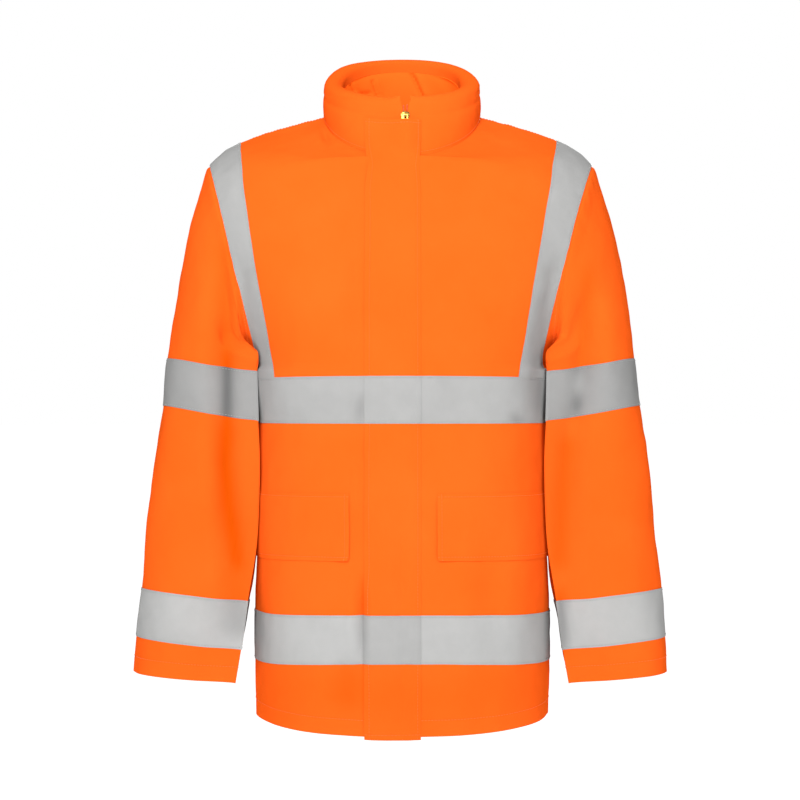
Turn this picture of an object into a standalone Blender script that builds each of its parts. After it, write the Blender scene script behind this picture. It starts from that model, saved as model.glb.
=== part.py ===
"""High-visibility rain jacket, filled out as worn, built from its cut pieces.

Metres, +Z up, the front faces -Y and the wearer's right is -X. The origin lies midway between
the two side-neck points, at shoulder level. Each cloth piece is a wall lofted through rows that
are worked out from the tables of sizes below.
"""
import math

import bmesh
import bpy
import numpy as np
from mathutils import Matrix, Vector

COLLECTION = "hi_vis_jacket"

# Cloth
CLOTH = 0.0016
FLAP_CLOTH = 0.0020
TAPE = 0.0010
SEAM_HALF = 0.00018
JOIN_DISTANCE = 0.000001
LIE_GAP = 0.0003

# Zip, a little to the wearer's left of the middle
ZIP_X = 0.0040
ZIP_SLOT_HALF = 0.0028
CHAIN_HALF = 0.0025
CHAIN_PROUD = 0.0003
ZIP_TAPE_HALF = 0.0070
ZIP_TAPE_FRONT = -0.0026
ZIP_TAPE_BACK = -0.0036

# Neck seam, a tilted ring, and the rolled rim of the collar above it
NECK_HALF_WIDTH = 0.101
NECK_FRONT = 0.095
NECK_BACK = 0.079
NECK_FRONT_DROP = 0.0623
NECK_BACK_RISE = 0.006
# The slope of the neck seam changes over about this depth at the side-neck point
NECK_BLEND = 0.015
# How far the neck seam's normal points up: at the middle, and more at the side
NECK_NORMAL_FRONT = (0.22, 0.40)
NECK_NORMAL_BACK = (0.30, 0.32)
RIM_HALF_WIDTH = 0.1015
RIM_HALF_DEPTH = 0.0800
RIM_MID_Y = -0.0020
RIM_FRONT_Z = 0.0070
RIM_BACK_Z = 0.0800
# Radius of the rolled rim at the front and back, and how much more it has at the sides
RIM_RADIUS = 0.0085
RIM_SIDE_MORE = 0.0045
RIM_TURN_DOWN = 0.010
COLLAR_SWELL = 0.0012
COLLAR_LAYER_GAP = 0.0100
# Angles round the neck from the centre front, matched by the rows of the fronts and the back
NECK_ANGLES_FRONT = (13.1, 27.0, 46.0, 68.0)
NECK_ANGLES_BACK = (112.0, 135.0, 158.0)

# Armhole: half turns from the shoulder tip (0) by the front to the armpit (180)
ARMHOLE_ANGLES = (180, 160, 143, 128, 114, 101, 88, 75, 62, 50, 41, 32, 22, 11, 0)
FOLD_IN = 0.0012
FOLD_IN_LOW = 0.0030
FOLD_DOWN = 0.0050
FOLD_FORWARD = 0.0060
SIDE_SEAM_IN = 0.0040

# Body sections below the armpit, hem upwards.
# columns: name, z at the centre front, z at the side and back, half width, depth front, back
TORSO = (
    ("hem", -0.7770, -0.7680, 0.1872, 0.1580, 0.1500),
    ("hem_band_low", -0.6880, -0.6985, 0.1888, 0.1570, 0.1490),
    ("hem_band_high", -0.6290, -0.6355, 0.1886, 0.1560, 0.1480),
    ("pocket_low", -0.5630, -0.5665, 0.1876, 0.1550, 0.1460),
    ("pocket_middle", -0.5450, -0.5470, 0.1873, 0.1545, 0.1450),
    ("pocket_high", -0.4810, -0.4820, 0.1867, 0.1535, 0.1425),
    ("waist", -0.4380, -0.4380, 0.1865, 0.1535, 0.1415),
    ("chest_band_low", -0.3958, -0.3960, 0.1865, 0.1540, 0.1420),
    ("chest_band_high", -0.3376, -0.3395, 0.1925, 0.1545, 0.1440),
)
# Centre lines above the armpit, one row for each armhole angle until the neck is reached.
# columns: z at the centre front, y there, z at the centre back, y there
CENTRE_LINES = (
    (-0.3240, -0.1535, -0.3240, 0.1455),
    (-0.3090, -0.1515, -0.3090, 0.1465),
    (-0.2920, -0.1485, -0.2920, 0.1475),
    (-0.2700, -0.1445, -0.2700, 0.1485),
    (-0.2400, -0.1390, -0.2400, 0.1490),
    (-0.2050, -0.1320, -0.2050, 0.1480),
    (-0.1700, -0.1240, -0.1680, 0.1450),
    (-0.1350, -0.1150, -0.1280, 0.1390),
    (-0.1000, -0.1055, -0.0860, 0.1270),
    (-NECK_FRONT_DROP, -NECK_FRONT, -0.0420, 0.1070),
)
UNDER_ARM_Z = -0.3310
UNDER_ARM_Y_FRONT = -0.1540
UNDER_ARM_Y_BACK = 0.1450
# The side seam just under the armpit: how far below it, how far out, and the fold in the cloth there
UNDER_ARM_DROP = 0.0035
UNDER_ARM_SHARE_OUT = 0.2
UNDER_ARM_FOLD = 0.0020
UNDER_ARM_NORMAL = (0.8, 0.0, -0.6)

# Shape of a row between the centre and the edge: pull of its two ends, low and at the shoulder
PULL_CENTRE = (0.50, 0.34)
PULL_EDGE = (0.46, 0.24)
SHOULDER_SLOPE_NECK = 0.27
EDGE_WAY_MID = (0.81, 0.58, 0.0)
EDGE_WAY_TIP = (0.42, 0.0, -0.91)

# Columns of each front, as distances from the middle: zip edge, storm flap, pocket flap, panel
FRONT_COLUMNS = {
    -1: (ZIP_SLOT_HALF - ZIP_X, 0.0229, 0.0459, 0.0646, 0.0950, 0.1270),
    1: (ZIP_SLOT_HALF + ZIP_X, 0.0229, 0.0427, 0.0670, 0.0970, 0.1280),
}
BACK_COLUMNS = (0.0, 0.0300, 0.0600, 0.0900, 0.1150, 0.1380)
# Where the brace tape ends, as a share of the way from its inner edge to the end of a row:
# below the armpit, and for each armhole angle
TAPE_SHARE_LOW = 0.60
TAPE_SHARES = (0.60, 0.66, 0.74, 0.82, 0.89, 0.94, 0.96, 0.97, 0.97, 0.97, 0.97, 0.97, 0.97, 0.97, 0.97)
# Inner edge of the brace tape. columns: z, distance from the middle, for each side.
# Each row meets it at a height this far along its way out
BRACE_EDGE_SHARE = 0.7
BRACE_EDGE = {
    -1: ((-0.335, 0.1586), (-0.234, 0.1760), (-0.155, 0.1894), (-0.083, 0.2017), (-0.039, 0.2105)),
    1: ((-0.337, 0.1433), (-0.2245, 0.1618), (-0.1286, 0.1803), (-0.0833, 0.1898), (-0.033, 0.2041)),
}

# Sleeve sections from the armhole to the cuff.
# columns: name, outer x right, outer x left, outer z, inner x, inner z, half depth, y of the
# middle, how far the front and back bend in, squareness, how far the front rises over the back
SLEEVE = (
    ("armhole", 0.2495, 0.2465, -0.0650, 0.1950, -0.3220, 0.0880, 0.000, 0.0080, 2.0, 0.0),
    ("cap", 0.2590, 0.2570, -0.0900, 0.1965, -0.3290, 0.0885, 0.002, 0.0075, 2.0, 0.0),
    ("cap_low", 0.2745, 0.2718, -0.1370, 0.1970, -0.3300, 0.0880, 0.006, 0.0050, 2.1, 0.01),
    ("upper_1", 0.2852, 0.2835, -0.1850, 0.1970, -0.3311, 0.0865, 0.010, 0.0030, 2.1, 0.02),
    ("upper_2", 0.2922, 0.2920, -0.2350, 0.1965, -0.3323, 0.0850, 0.012, 0.0015, 2.2, 0.03),
    ("upper_3", 0.2995, 0.2982, -0.2800, 0.1955, -0.3336, 0.0830, 0.014, 0.0, 2.3, 0.04),
    ("band_high", 0.3050, 0.3022, -0.3142, 0.1945, -0.3352, 0.0815, 0.015, 0.0, 2.4, 0.04),
    ("band_low", 0.3112, 0.3092, -0.3748, 0.1870, -0.3980, 0.0790, 0.015, 0.0, 2.6, 0.04),
    ("elbow_high", 0.3190, 0.3166, -0.4250, 0.1850, -0.4430, 0.0765, 0.014, 0.0, 2.6, 0.05),
    ("elbow", 0.3262, 0.3235, -0.4850, 0.1850, -0.5000, 0.0730, 0.012, 0.0, 2.5, 0.05),
    ("fore_1", 0.3330, 0.3302, -0.5450, 0.1890, -0.5560, 0.0700, 0.008, 0.0, 2.4, 0.06),
    ("cuff_band_high", 0.3365, 0.3354, -0.6100, 0.2005, -0.6265, 0.0680, 0.000, 0.0, 2.3, 0.06),
    ("cuff_band_low", 0.3430, 0.3403, -0.6715, 0.2092, -0.6877, 0.0660, -0.006, 0.0, 2.3, 0.06),
    ("cuff", 0.3465, 0.3423, -0.7170, 0.2165, -0.7290, 0.0645, -0.010, 0.0, 2.2, 0.06),
)
BEND_IN_LEFT = 0.0140
# How far a sleeve stays off the body: beside the chest band, over a pocket flap, elsewhere
CLEAR_TAPED = 0.0042
CLEAR_POCKET = 0.0065
CLEAR_PLAIN = 0.0030
CLEAR_TAPED_Z = -0.4300
CLEAR_POCKET_Y = 0.0050

# Largest folds, soft troughs seen from the front.
# columns: piece, x and z of one end, x and z of the other, half width, depth
FOLDS = (
    ("sleeve_right", -0.2240, -0.2300, -0.2230, -0.4000, 0.0150, 0.0060),
    ("sleeve_right", -0.2230, -0.4000, -0.2080, -0.6000, 0.0160, 0.0070),
    ("sleeve_left", 0.2330, -0.2800, 0.2200, -0.4000, 0.0150, 0.0050),
    ("sleeve_left", 0.2200, -0.4000, 0.1980, -0.5400, 0.0170, 0.0080),
    ("front_right", -0.0570, -0.2200, -0.0560, -0.3200, 0.0120, 0.0015),
    ("front_right", -0.0560, -0.5000, -0.0600, -0.7200, 0.0130, 0.0030),
    ("front_left", 0.1850, -0.2200, 0.1700, -0.3100, 0.0120, 0.0030),
)

# Storm flap over the zip, from below the hem up on to the collar.
# Lift over the panel of its free edge, its middle, the two zip edges and its sewn edge
FLAP_LIFTS = (0.0030, 0.0024, 0.0020, 0.0020, 0.0018)
FLAP_LIFTS_COLLAR = (0.0030, 0.0056, 0.0060, 0.0060, 0.0022)
FLAP_BELOW_HEM = 0.0035
FLAP_TOP_SHARE = 0.66
COLLAR_SHARES = (0.0, 0.33, FLAP_TOP_SHARE)
RIM_TURNS = (45.0, 90.0, 135.0, 180.0)

POCKET_LIFTS = (0.0022, 0.0018, 0.0004)
TAPE_EDGE_IN = 0.0003
ZIP_END_IN = 0.0006
INNER_SHARES = (0.0, 0.4, 0.75, 1.0)

STUD_HEIGHTS = (-0.0940, -0.2580, -0.4270, -0.5950, -0.7550)
STUD_RADIUS = 0.0060
STUD_THICK = 0.0012
STUD_GAP = 0.0004
STUD_ACROSS = 0.35

# Slider and pull tab, in their own frame: x across, f out of the cloth, u up the zip
SLIDER_SHARE = 0.745
SLIDER_PLATE = ((-0.0048, -0.0055), (0.0048, -0.0055), (0.0044, -0.0020), (0.0056, 0.0008),
                (0.0055, 0.0026), (0.0044, 0.0042), (0.0026, 0.0050), (-0.0026, 0.0050),
                (-0.0044, 0.0042), (-0.0055, 0.0026), (-0.0056, 0.0008), (-0.0044, -0.0020))
SLIDER_FRONT = (0.0006, 0.0020)
SLIDER_BACK = (-0.0036, -0.0023)
SLIDER_NECK_HALF = (0.0023, 0.0045)
BAIL_HALF_WIDTH = 0.0013
BAIL_OUTER = (0.0042, 0.0035)
BAIL_INNER = (0.0031, 0.0024)
BAIL_STEPS = 8
PULL_PIVOT_OUT = 0.0033
PULL_HALF_THICK = 0.0006
PULL_OUTLINE = ((-0.0032, 0.0006), (0.0032, 0.0006), (0.0034, -0.0070), (0.0042, -0.0120),
                (0.0042, -0.0240), (0.0030, -0.0260), (-0.0030, -0.0260), (-0.0042, -0.0240),
                (-0.0042, -0.0120), (-0.0034, -0.0070))
PULL_WINDOW = (0.0020, -0.0006, -0.0058)
PULL_TILT = math.radians(4.5)

ORANGE = (0.99, 0.19, 0.018)
SILVER = (0.50, 0.50, 0.49)
BRASS = (0.78, 0.55, 0.16)


def unit(vector):
    vector = np.asarray(vector, dtype=float)
    return vector / np.linalg.norm(vector)


def lerp(a, b, share):
    return np.asarray(a, dtype=float) * (1 - share) + np.asarray(b, dtype=float) * share


def section(name, table):
    """Index of the named row of a table."""
    return [row[0] for row in table].index(name)


# Materials and meshes

def make_material(name, colour, roughness, metallic=0.0):
    material = bpy.data.materials.new(name)
    material.use_nodes = True
    shader = material.node_tree.nodes["Principled BSDF"]
    shader.inputs["Base Color"].default_value = (*colour, 1.0)
    shader.inputs["Roughness"].default_value = roughness
    shader.inputs["Metallic"].default_value = metallic
    return material


def link(obj, material, collection):
    obj.data.materials.append(material)
    collection.objects.link(obj)
    return obj


def finish_mesh(name, points, faces):
    """A mesh with its faces turned outwards and points that coincide joined."""
    mesh = bpy.data.meshes.new(name)
    mesh.from_pydata([tuple(p) for p in points], [], faces)
    shape = bmesh.new()
    shape.from_mesh(mesh)
    bmesh.ops.remove_doubles(shape, verts=shape.verts, dist=JOIN_DISTANCE)
    bmesh.ops.recalc_face_normals(shape, faces=shape.faces)
    shape.to_mesh(mesh)
    shape.free()
    return mesh


def wall_faces(rows, cols, closed=False, joined_rows=0, turned_row=None):
    """Faces of a wall between two grids.

    The first column has no edge below joined_rows. From turned_row on, the squares are split
    along their other diagonal, to lie flat on a panel whose rows run the other way.
    """
    layer = rows * cols
    steps = cols if closed else cols - 1
    faces = []
    for i in range(rows - 1):
        for j in range(steps):
            a = i * cols + j
            b = i * cols + (j + 1) % cols
            c = b + cols
            d = a + cols
            if turned_row is not None and i >= turned_row:
                a, b, c, d = b, c, d, a
            faces += [(a, b, c), (a, c, d)]
            faces += [(layer + a, layer + c, layer + b), (layer + a, layer + d, layer + c)]
    for start in (0, (rows - 1) * cols):
        for j in range(steps):
            a = start + j
            b = start + (j + 1) % cols
            faces += [(a, b, layer + b), (a, layer + b, layer + a)]
    if not closed:
        for j, first in ((0, joined_rows), (cols - 1, 0)):
            for i in range(first, rows - 1):
                a = i * cols + j
                d = a + cols
                faces += [(a, d, layer + d), (a, layer + d, layer + a)]
    return faces


def wall(name, outer, inner, material, collection, **ways):
    """A closed wall between two grids of points."""
    points = np.concatenate([outer.reshape(-1, 3), inner.reshape(-1, 3)])
    mesh = finish_mesh(name, points, wall_faces(*outer.shape[:2], **ways))
    return link(bpy.data.objects.new(name, mesh), material, collection)


def joined_wall(name, halves, joined_rows, material, collection):
    """One wall from two halves that share their first column below joined_rows."""
    points = []
    faces = []
    for outer, inner in halves:
        offset = len(points)
        points += [*outer.reshape(-1, 3), *inner.reshape(-1, 3)]
        shape_faces = wall_faces(*outer.shape[:2], joined_rows=joined_rows)
        faces += [[offset + k for k in face] for face in shape_faces]
    mesh = finish_mesh(name, points, faces)
    return link(bpy.data.objects.new(name, mesh), material, collection)


def grid_normals(points, outward, closed=False):
    """Normals of a grid, on the side that outward points to on average."""
    if closed:
        across = np.roll(points, -1, axis=1) - np.roll(points, 1, axis=1)
    else:
        across = np.gradient(points, axis=1)
    along = np.gradient(points, axis=0)
    normals = np.cross(across, along)
    normals /= np.linalg.norm(normals, axis=2, keepdims=True)
    if np.sum(normals * outward) < 0:
        normals = -normals
    return normals


def inset(points, bottom=0.0, top=0.0, left=0.0, right=0.0):
    """The grid with its edges drawn in along its own lines."""
    points = points.copy()

    def draw_in(edge, neighbour, distance):
        way = neighbour - edge
        length = np.linalg.norm(way, axis=1, keepdims=True)
        return edge + way / length * distance

    if bottom:
        points[0] = draw_in(points[0], points[1], bottom)
    if top:
        points[-1] = draw_in(points[-1], points[-2], top)
    if left:
        points[:, 0] = draw_in(points[:, 0], points[:, 1], left)
    if right:
        points[:, -1] = draw_in(points[:, -1], points[:, -2], right)
    return points


def laid_on(name, points, normals, lift, thick, material, collection, **ways):
    """A piece that lies on a panel: the panel's points, moved out by lift."""
    lift = np.asarray(lift, dtype=float)[..., None] if np.ndim(lift) else lift
    inner = points + normals * lift
    outer = points + normals * (lift + thick)
    return wall(name, outer, inner, material, collection, **ways)


def parted(points, normals, *rows):
    """The walls of a panel that is parted along some of its rows, with a seam gap between."""
    last = len(points) - 1
    walls = []
    for start, end in zip((0, *rows), (*rows, last)):
        part = slice(start, end + 1)
        bottom = SEAM_HALF if start > 0 else 0.0
        top = SEAM_HALF if end < last else 0.0
        outer = inset(points[part], bottom=bottom, top=top)
        walls.append((outer, outer - normals[part] * CLOTH))
    return walls


# Seam curves, each with a normal and the way across, shared by the pieces that meet there

def neck_line():
    """Slope of the neck seam at the side-neck point, and how it changes to the front and back."""
    front = math.hypot(NECK_FRONT, NECK_BLEND) - NECK_BLEND
    back = math.hypot(NECK_BACK, NECK_BLEND) - NECK_BLEND
    ratio = NECK_FRONT / NECK_BACK
    change = (NECK_FRONT_DROP - NECK_BACK_RISE * ratio) / (front + back * ratio)
    return (NECK_BACK_RISE + change * back) / NECK_BACK, change


NECK_SLOPE, NECK_CHANGE = neck_line()


def neck_point(side, angle):
    """A point of the neck seam at an angle from the centre front, with its normal and way up."""
    turn = math.radians(angle)
    depth = NECK_FRONT if angle <= 90 else NECK_BACK
    x = NECK_HALF_WIDTH * math.sin(turn)
    y = -depth * math.cos(turn)
    reach = math.hypot(y, NECK_BLEND)
    z = NECK_SLOPE * y - NECK_CHANGE * (reach - NECK_BLEND)
    flat = unit((x / NECK_HALF_WIDTH ** 2, y / depth ** 2, 0.0))
    least, more = NECK_NORMAL_FRONT if angle <= 90 else NECK_NORMAL_BACK
    up_share = least + more * math.sin(turn) ** 2
    normal = flat * math.sqrt(1 - up_share ** 2) + np.array((0.0, 0.0, up_share))
    point = np.array((side * x, y, z))
    normal = np.array((side * normal[0], normal[1], normal[2]))
    tangent_x = math.cos(turn) * NECK_HALF_WIDTH
    tangent_y = math.sin(turn) * depth
    slope = NECK_SLOPE - NECK_CHANGE * y / reach
    tangent = unit((side * tangent_x, tangent_y, tangent_y * slope))
    normal = unit(normal - tangent * np.dot(normal, tangent))
    up = np.cross(tangent, normal)
    if up[2] < 0:
        up = -up
    return point, normal, up


def sleeve_row(side, index):
    row = SLEEVE[index]
    outer_x = row[1] if side < 0 else row[2]
    bend_in = row[8]
    if side > 0:
        bend_in *= BEND_IN_LEFT / SLEEVE[0][8]
    outer = np.array((side * outer_x, row[7], row[3]))
    inner = np.array((side * row[4], row[7], row[5]))
    return outer, inner, row[6], bend_in, row[9], row[10]


def sleeve_point(side, index, angle, back):
    """A point of a sleeve section; angle 0 is outermost, 90 the front or the back."""
    outer, inner, half_depth, bend_in, power, lean = sleeve_row(side, index)
    cosine = math.cos(math.radians(angle))
    sine = max(0.0, math.sin(math.radians(angle)))
    share = math.copysign(abs(cosine) ** (2 / power), cosine)
    reach = sine ** (2 / power)
    point = (outer + inner) / 2 + (outer - inner) / 2 * share
    depth = half_depth * reach * (1 if back else -1)
    return point + np.array((-side * bend_in * sine ** 2, depth, -depth * lean))


def armhole_frame(side, angle, back):
    """Point, normal and way out to the sleeve on the armhole seam."""
    outer, inner, half_depth = sleeve_row(side, 0)[:3]
    chord = outer - inner
    up = unit(chord)
    half_height = np.linalg.norm(chord) / 2
    turn = math.radians(angle)
    fore = np.array((0.0, 1.0 if back else -1.0, 0.0))
    normal = unit(up * math.cos(turn) / half_height + fore * math.sin(turn) / half_depth)
    out = unit((side * up[2], 0.0, -side * up[0]))
    return sleeve_point(side, 0, angle, back), normal, out


# Body rows: where each starts at the centre, where it ends, and its two directions there

def body_rails(side, back):
    """For each row: start, start direction, end, end direction, seam point, normal and way out."""
    fore = 1.0 if back else -1.0
    rails = []
    for _, z_front, z_side, half_width, front, rear in TORSO:
        start = (0.0, rear if back else -front, z_side if back else z_front)
        seam = np.array((side * half_width, 0.0, z_side))
        end = seam + np.array((0.0, fore * SIDE_SEAM_IN, 0.0))
        rails.append((start, (side, 0, 0), end, (0, -fore, 0), seam, (side, 0, 0), (0, -fore, 0)))
    armpit = armhole_frame(side, 180, back)[0]
    band_top = rails[-1][4]
    under_x = band_top[0] + (armpit[0] - band_top[0]) * UNDER_ARM_SHARE_OUT
    under = np.array((under_x, 0.0, armpit[2] - UNDER_ARM_DROP))
    start = (0.0, UNDER_ARM_Y_BACK if back else UNDER_ARM_Y_FRONT, UNDER_ARM_Z)
    end = np.array((band_top[0], fore * FOLD_FORWARD, under[2] - UNDER_ARM_FOLD))
    under_normal = np.array(UNDER_ARM_NORMAL) * (side, 1, 1)
    rails.append((start, (side, 0, 0), end, (0, -fore, 0), under, under_normal, (0, -fore, 0)))
    neck_angles = [180.0, *reversed(NECK_ANGLES_BACK), 90.0] if back else [*NECK_ANGLES_FRONT, 90.0]
    count = len(ARMHOLE_ANGLES)
    for number, angle in enumerate(ARMHOLE_ANGLES):
        seam, normal, out = armhole_frame(side, angle, back)
        low = max(0.0, -math.cos(math.radians(angle))) ** 2
        end = seam - out * (FOLD_IN + FOLD_IN_LOW * low) + normal * FOLD_DOWN * low
        if angle == 180:
            end = end + np.array((0.0, fore * FOLD_FORWARD, 0.0))
        if angle >= 90:
            way = unit(lerp(EDGE_WAY_MID, (0.0, 1.0, 0.0), (angle - 90) / 90))
        else:
            way = unit(lerp(EDGE_WAY_TIP, EDGE_WAY_MID, angle / 90))
        way = np.array((side * way[0], -fore * way[1], way[2]))
        neck_number = number - (count - len(neck_angles))
        if neck_number < 0:
            z_front, y_front, z_back, y_back = CENTRE_LINES[number]
            start = np.array((0.0, y_back if back else y_front, z_back if back else z_front))
            start_way = (side, 0, 0)
        else:
            start = neck_point(side, neck_angles[neck_number])[0]
            slope = -SHOULDER_SLOPE_NECK * math.sin(math.radians(neck_angles[neck_number]))
            start_way = unit((side, 0, slope))
        rails.append((start, start_way, end, way, seam, normal, out))
    return [[np.asarray(part, dtype=float) for part in rail] for rail in rails]


def row_curve(rail, high_share, samples=161):
    """The smooth line of one row, from its start to its end."""
    start, start_way, end, end_way = rail[:4]
    chord = np.linalg.norm(end - start)
    pull_start = 3 * chord * lerp(*PULL_CENTRE, high_share)
    pull_end = 3 * chord * lerp(*PULL_EDGE, high_share)
    t = np.linspace(0, 1, samples)[:, None]
    return (
        (2 * t ** 3 - 3 * t ** 2 + 1) * start
        + (t ** 3 - 2 * t ** 2 + t) * start_way * pull_start
        + (3 * t ** 2 - 2 * t ** 3) * end
        + (t ** 3 - t ** 2) * end_way * pull_end
    )


def at_distance(curve, distance, side):
    """The point of a row at a distance from the middle."""
    along = side * curve[:, 0]
    return np.array([side * distance, *(np.interp(distance, along, curve[:, k]) for k in (1, 2))])


def body_grid(side, back):
    """The half body's outer surface: rows hem upwards, columns centre outwards, seam last."""
    rails = body_rails(side, back)
    columns = BACK_COLUMNS if back else FRONT_COLUMNS[side]
    first_upper = len(TORSO) + 1
    edge_z, edge_x = zip(*BRACE_EDGE[side])
    grid = []
    reference = None
    for number, rail in enumerate(rails):
        high = max(0.0, (number - first_upper) / (len(rails) - 1 - first_upper))
        curve = row_curve(rail, high)
        tape_z = lerp(rail[0][2], rail[2][2], BRACE_EDGE_SHARE)
        tape_x = float(np.interp(tape_z, edge_z, edge_x))
        start_x = side * rail[0][0]
        on_neck = start_x > 1e-6
        if not on_neck:
            reference = (columns[0], tape_x)
            targets = [*columns, tape_x]
        else:
            low, high_x = reference
            shares = [(c - low) / (high_x - low) for c in columns]
            targets = [start_x + (tape_x - start_x) * share for share in shares] + [tape_x]
        row = [at_distance(curve, x, side) for x in targets]
        along = side * curve[:, 0]
        tape_t = float(np.interp(tape_x, along, np.linspace(0, 1, len(curve))))
        armhole_number = number - first_upper
        tape_share = TAPE_SHARE_LOW if armhole_number < 0 else TAPE_SHARES[armhole_number]
        for share in (tape_share / 2, tape_share, 1.0):
            place = (tape_t + (1 - tape_t) * share) * (len(curve) - 1)
            low_index = min(int(place), len(curve) - 2)
            row.append(lerp(curve[low_index], curve[low_index + 1], place - low_index))
        row.append(rail[4])
        grid.append(row)
    return np.array(grid), rails


def fold_depth(name, points):
    """How deep the troughs of a piece press at each point, by its distance from each trough."""
    depth = np.zeros(points.shape[:2])
    for piece, x_a, z_a, x_b, z_b, half_width, most in FOLDS:
        if piece != name:
            continue
        a = np.array((x_a, z_a))
        way = np.array((x_b, z_b)) - a
        flat = points[..., (0, 2)] - a
        along = np.clip(flat @ way / (way @ way), 0.0, 1.0)
        off = np.linalg.norm(flat - along[..., None] * way, axis=-1)
        here = most * np.exp(-(off / half_width) ** 2)
        depth = np.maximum(depth, np.where(points[..., 1] < 0, here, 0.0))
    return depth


NECK_ROW_FRONT = len(TORSO) + 1 + len(ARMHOLE_ANGLES) - len(NECK_ANGLES_FRONT) - 2
NECK_ROW_BACK = len(TORSO) + 1 + len(ARMHOLE_ANGLES) - len(NECK_ANGLES_BACK) - 2


def finish_seams(points, normals, rails, side, back):
    """Give the seam edges their shared normals, and draw them back by half a seam gap."""
    fore = 1.0 if back else -1.0
    torso_rows = len(TORSO) + 1
    for number, rail in enumerate(rails):
        _, _, _, _, seam, normal, out = rail
        normals[number, -1] = normal
        points[number, -1] = seam - out * SEAM_HALF
        if number == torso_rows:
            points[number, -1] = points[number, -1] + np.array((0.0, fore * SEAM_HALF, 0.0))
    neck_row = NECK_ROW_BACK if back else NECK_ROW_FRONT
    angles = [180.0, *reversed(NECK_ANGLES_BACK), 90.0] if back else [None, *NECK_ANGLES_FRONT, 90.0]
    for number, angle in enumerate(angles):
        row = neck_row + number
        if angle is None:
            angle = math.degrees(math.asin(side * points[row, 0, 0] / NECK_HALF_WIDTH))
        point, normal, up = neck_point(side, angle)
        points[row, 0] = point - up * SEAM_HALF
        normals[row, 0] = normal
    ridge = np.gradient(points[-1], axis=0)
    for column in range(1, points.shape[1] - 1):
        normals[-1, column] = unit((-side * ridge[column, 2], 0.0, side * ridge[column, 0]))
    points[-1, :, 1] = points[-1, :, 1] + fore * SEAM_HALF
    return points, normals


def build_body(side, back):
    points, rails = body_grid(side, back)
    outward = np.array((0.0, 1.0 if back else -1.0, 0.0))
    normals = grid_normals(points, outward)
    if not back:
        name = "front_right" if side < 0 else "front_left"
        points = points - normals * fold_depth(name, points)[..., None]
        for number, rail in enumerate(rails):
            points[number, -1] = rail[4]
        normals = grid_normals(points, outward)
    return finish_seams(points, normals, rails, side, back)


def body_half_width(z, y):
    """Half width of the body below the armpit at a height and a depth."""
    heights = [row[2] for row in TORSO]
    back = y > 0
    widths = []
    for rail in body_rails(1, back)[:len(TORSO)]:
        curve = row_curve(rail, 0.0)
        depth = np.abs(curve[::-1, 1])
        widths.append(np.interp(abs(y), depth, curve[::-1, 0]))
    return float(np.interp(z, heights, widths))


def sleeve_clearance(z, y):
    """How far a sleeve stays off the body at a height and a depth."""
    if z > CLEAR_TAPED_Z:
        return CLEAR_TAPED
    return CLEAR_POCKET if y < CLEAR_POCKET_Y else CLEAR_PLAIN


# Sleeves

def sleeve_columns():
    front = [(angle, False) for angle in reversed(ARMHOLE_ANGLES)]
    rear = [(angle, True) for angle in ARMHOLE_ANGLES[1:-1]]
    return front + rear


def build_sleeve(side):
    columns = sleeve_columns()
    frames = [armhole_frame(side, angle, back) for angle, back in columns]
    first = []
    second = []
    for (angle, _), (seam, normal, out) in zip(columns, frames):
        low = max(0.0, -math.cos(math.radians(angle))) ** 2
        first.append(seam)
        second.append(seam + out * (FOLD_IN + FOLD_IN_LOW * low) + normal * FOLD_DOWN * low)
    grid = [first, second]
    for index in range(1, len(SLEEVE)):
        ring = []
        for angle, back in columns:
            point = sleeve_point(side, index, angle, back)
            if angle > 90:
                least = body_half_width(point[2], point[1]) + sleeve_clearance(point[2], point[1])
                point[0] = side * max(side * point[0], least)
            ring.append(point)
        grid.append(ring)
    points = np.array(grid)
    middle = points.mean(axis=1, keepdims=True)
    normals = grid_normals(points, points - middle, closed=True)
    name = "sleeve_right" if side < 0 else "sleeve_left"
    press = fold_depth(name, points)[..., None]
    press[:2] = 0.0
    points = points - normals * press
    normals = grid_normals(points, points - middle, closed=True)
    for number, (seam, normal, out) in enumerate(frames):
        points[0, number] = seam + out * SEAM_HALF
        normals[0, number] = normal
    return points, normals


# Collar

def collar_columns():
    right_edge = math.degrees(math.asin((ZIP_SLOT_HALF - ZIP_X) / NECK_HALF_WIDTH))
    left_edge = math.degrees(math.asin((ZIP_SLOT_HALF + ZIP_X) / NECK_HALF_WIDTH))
    angles = [*NECK_ANGLES_FRONT, 90.0, *NECK_ANGLES_BACK]
    right = [(-1, angle) for angle in (right_edge, *angles, 180.0)]
    left = [(1, angle) for angle in (left_edge, *angles)]
    return right + left[::-1]


def rim_radius(angle):
    return RIM_RADIUS + RIM_SIDE_MORE * math.sin(math.radians(angle)) ** 2


def rim_point(side, angle):
    """Outermost point of the rolled rim, and the flat way out of the neck there."""
    turn = math.radians(angle)
    x = side * RIM_HALF_WIDTH * math.sin(turn)
    y = RIM_MID_Y - RIM_HALF_DEPTH * math.cos(turn)
    share = (1 - math.cos(turn)) / 2
    z = RIM_FRONT_Z + (RIM_BACK_Z - RIM_FRONT_Z) * share + RIM_RADIUS - rim_radius(angle)
    out = unit((math.sin(turn) / RIM_HALF_WIDTH * side, -math.cos(turn) / RIM_HALF_DEPTH, 0.0))
    return np.array((x, y, z)), out


def collar_point(side, angle, share):
    base = neck_point(side, angle)[0]
    rim, out = rim_point(side, angle)
    return lerp(base, rim, share) + out * COLLAR_SWELL * math.sin(math.pi * share)


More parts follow.
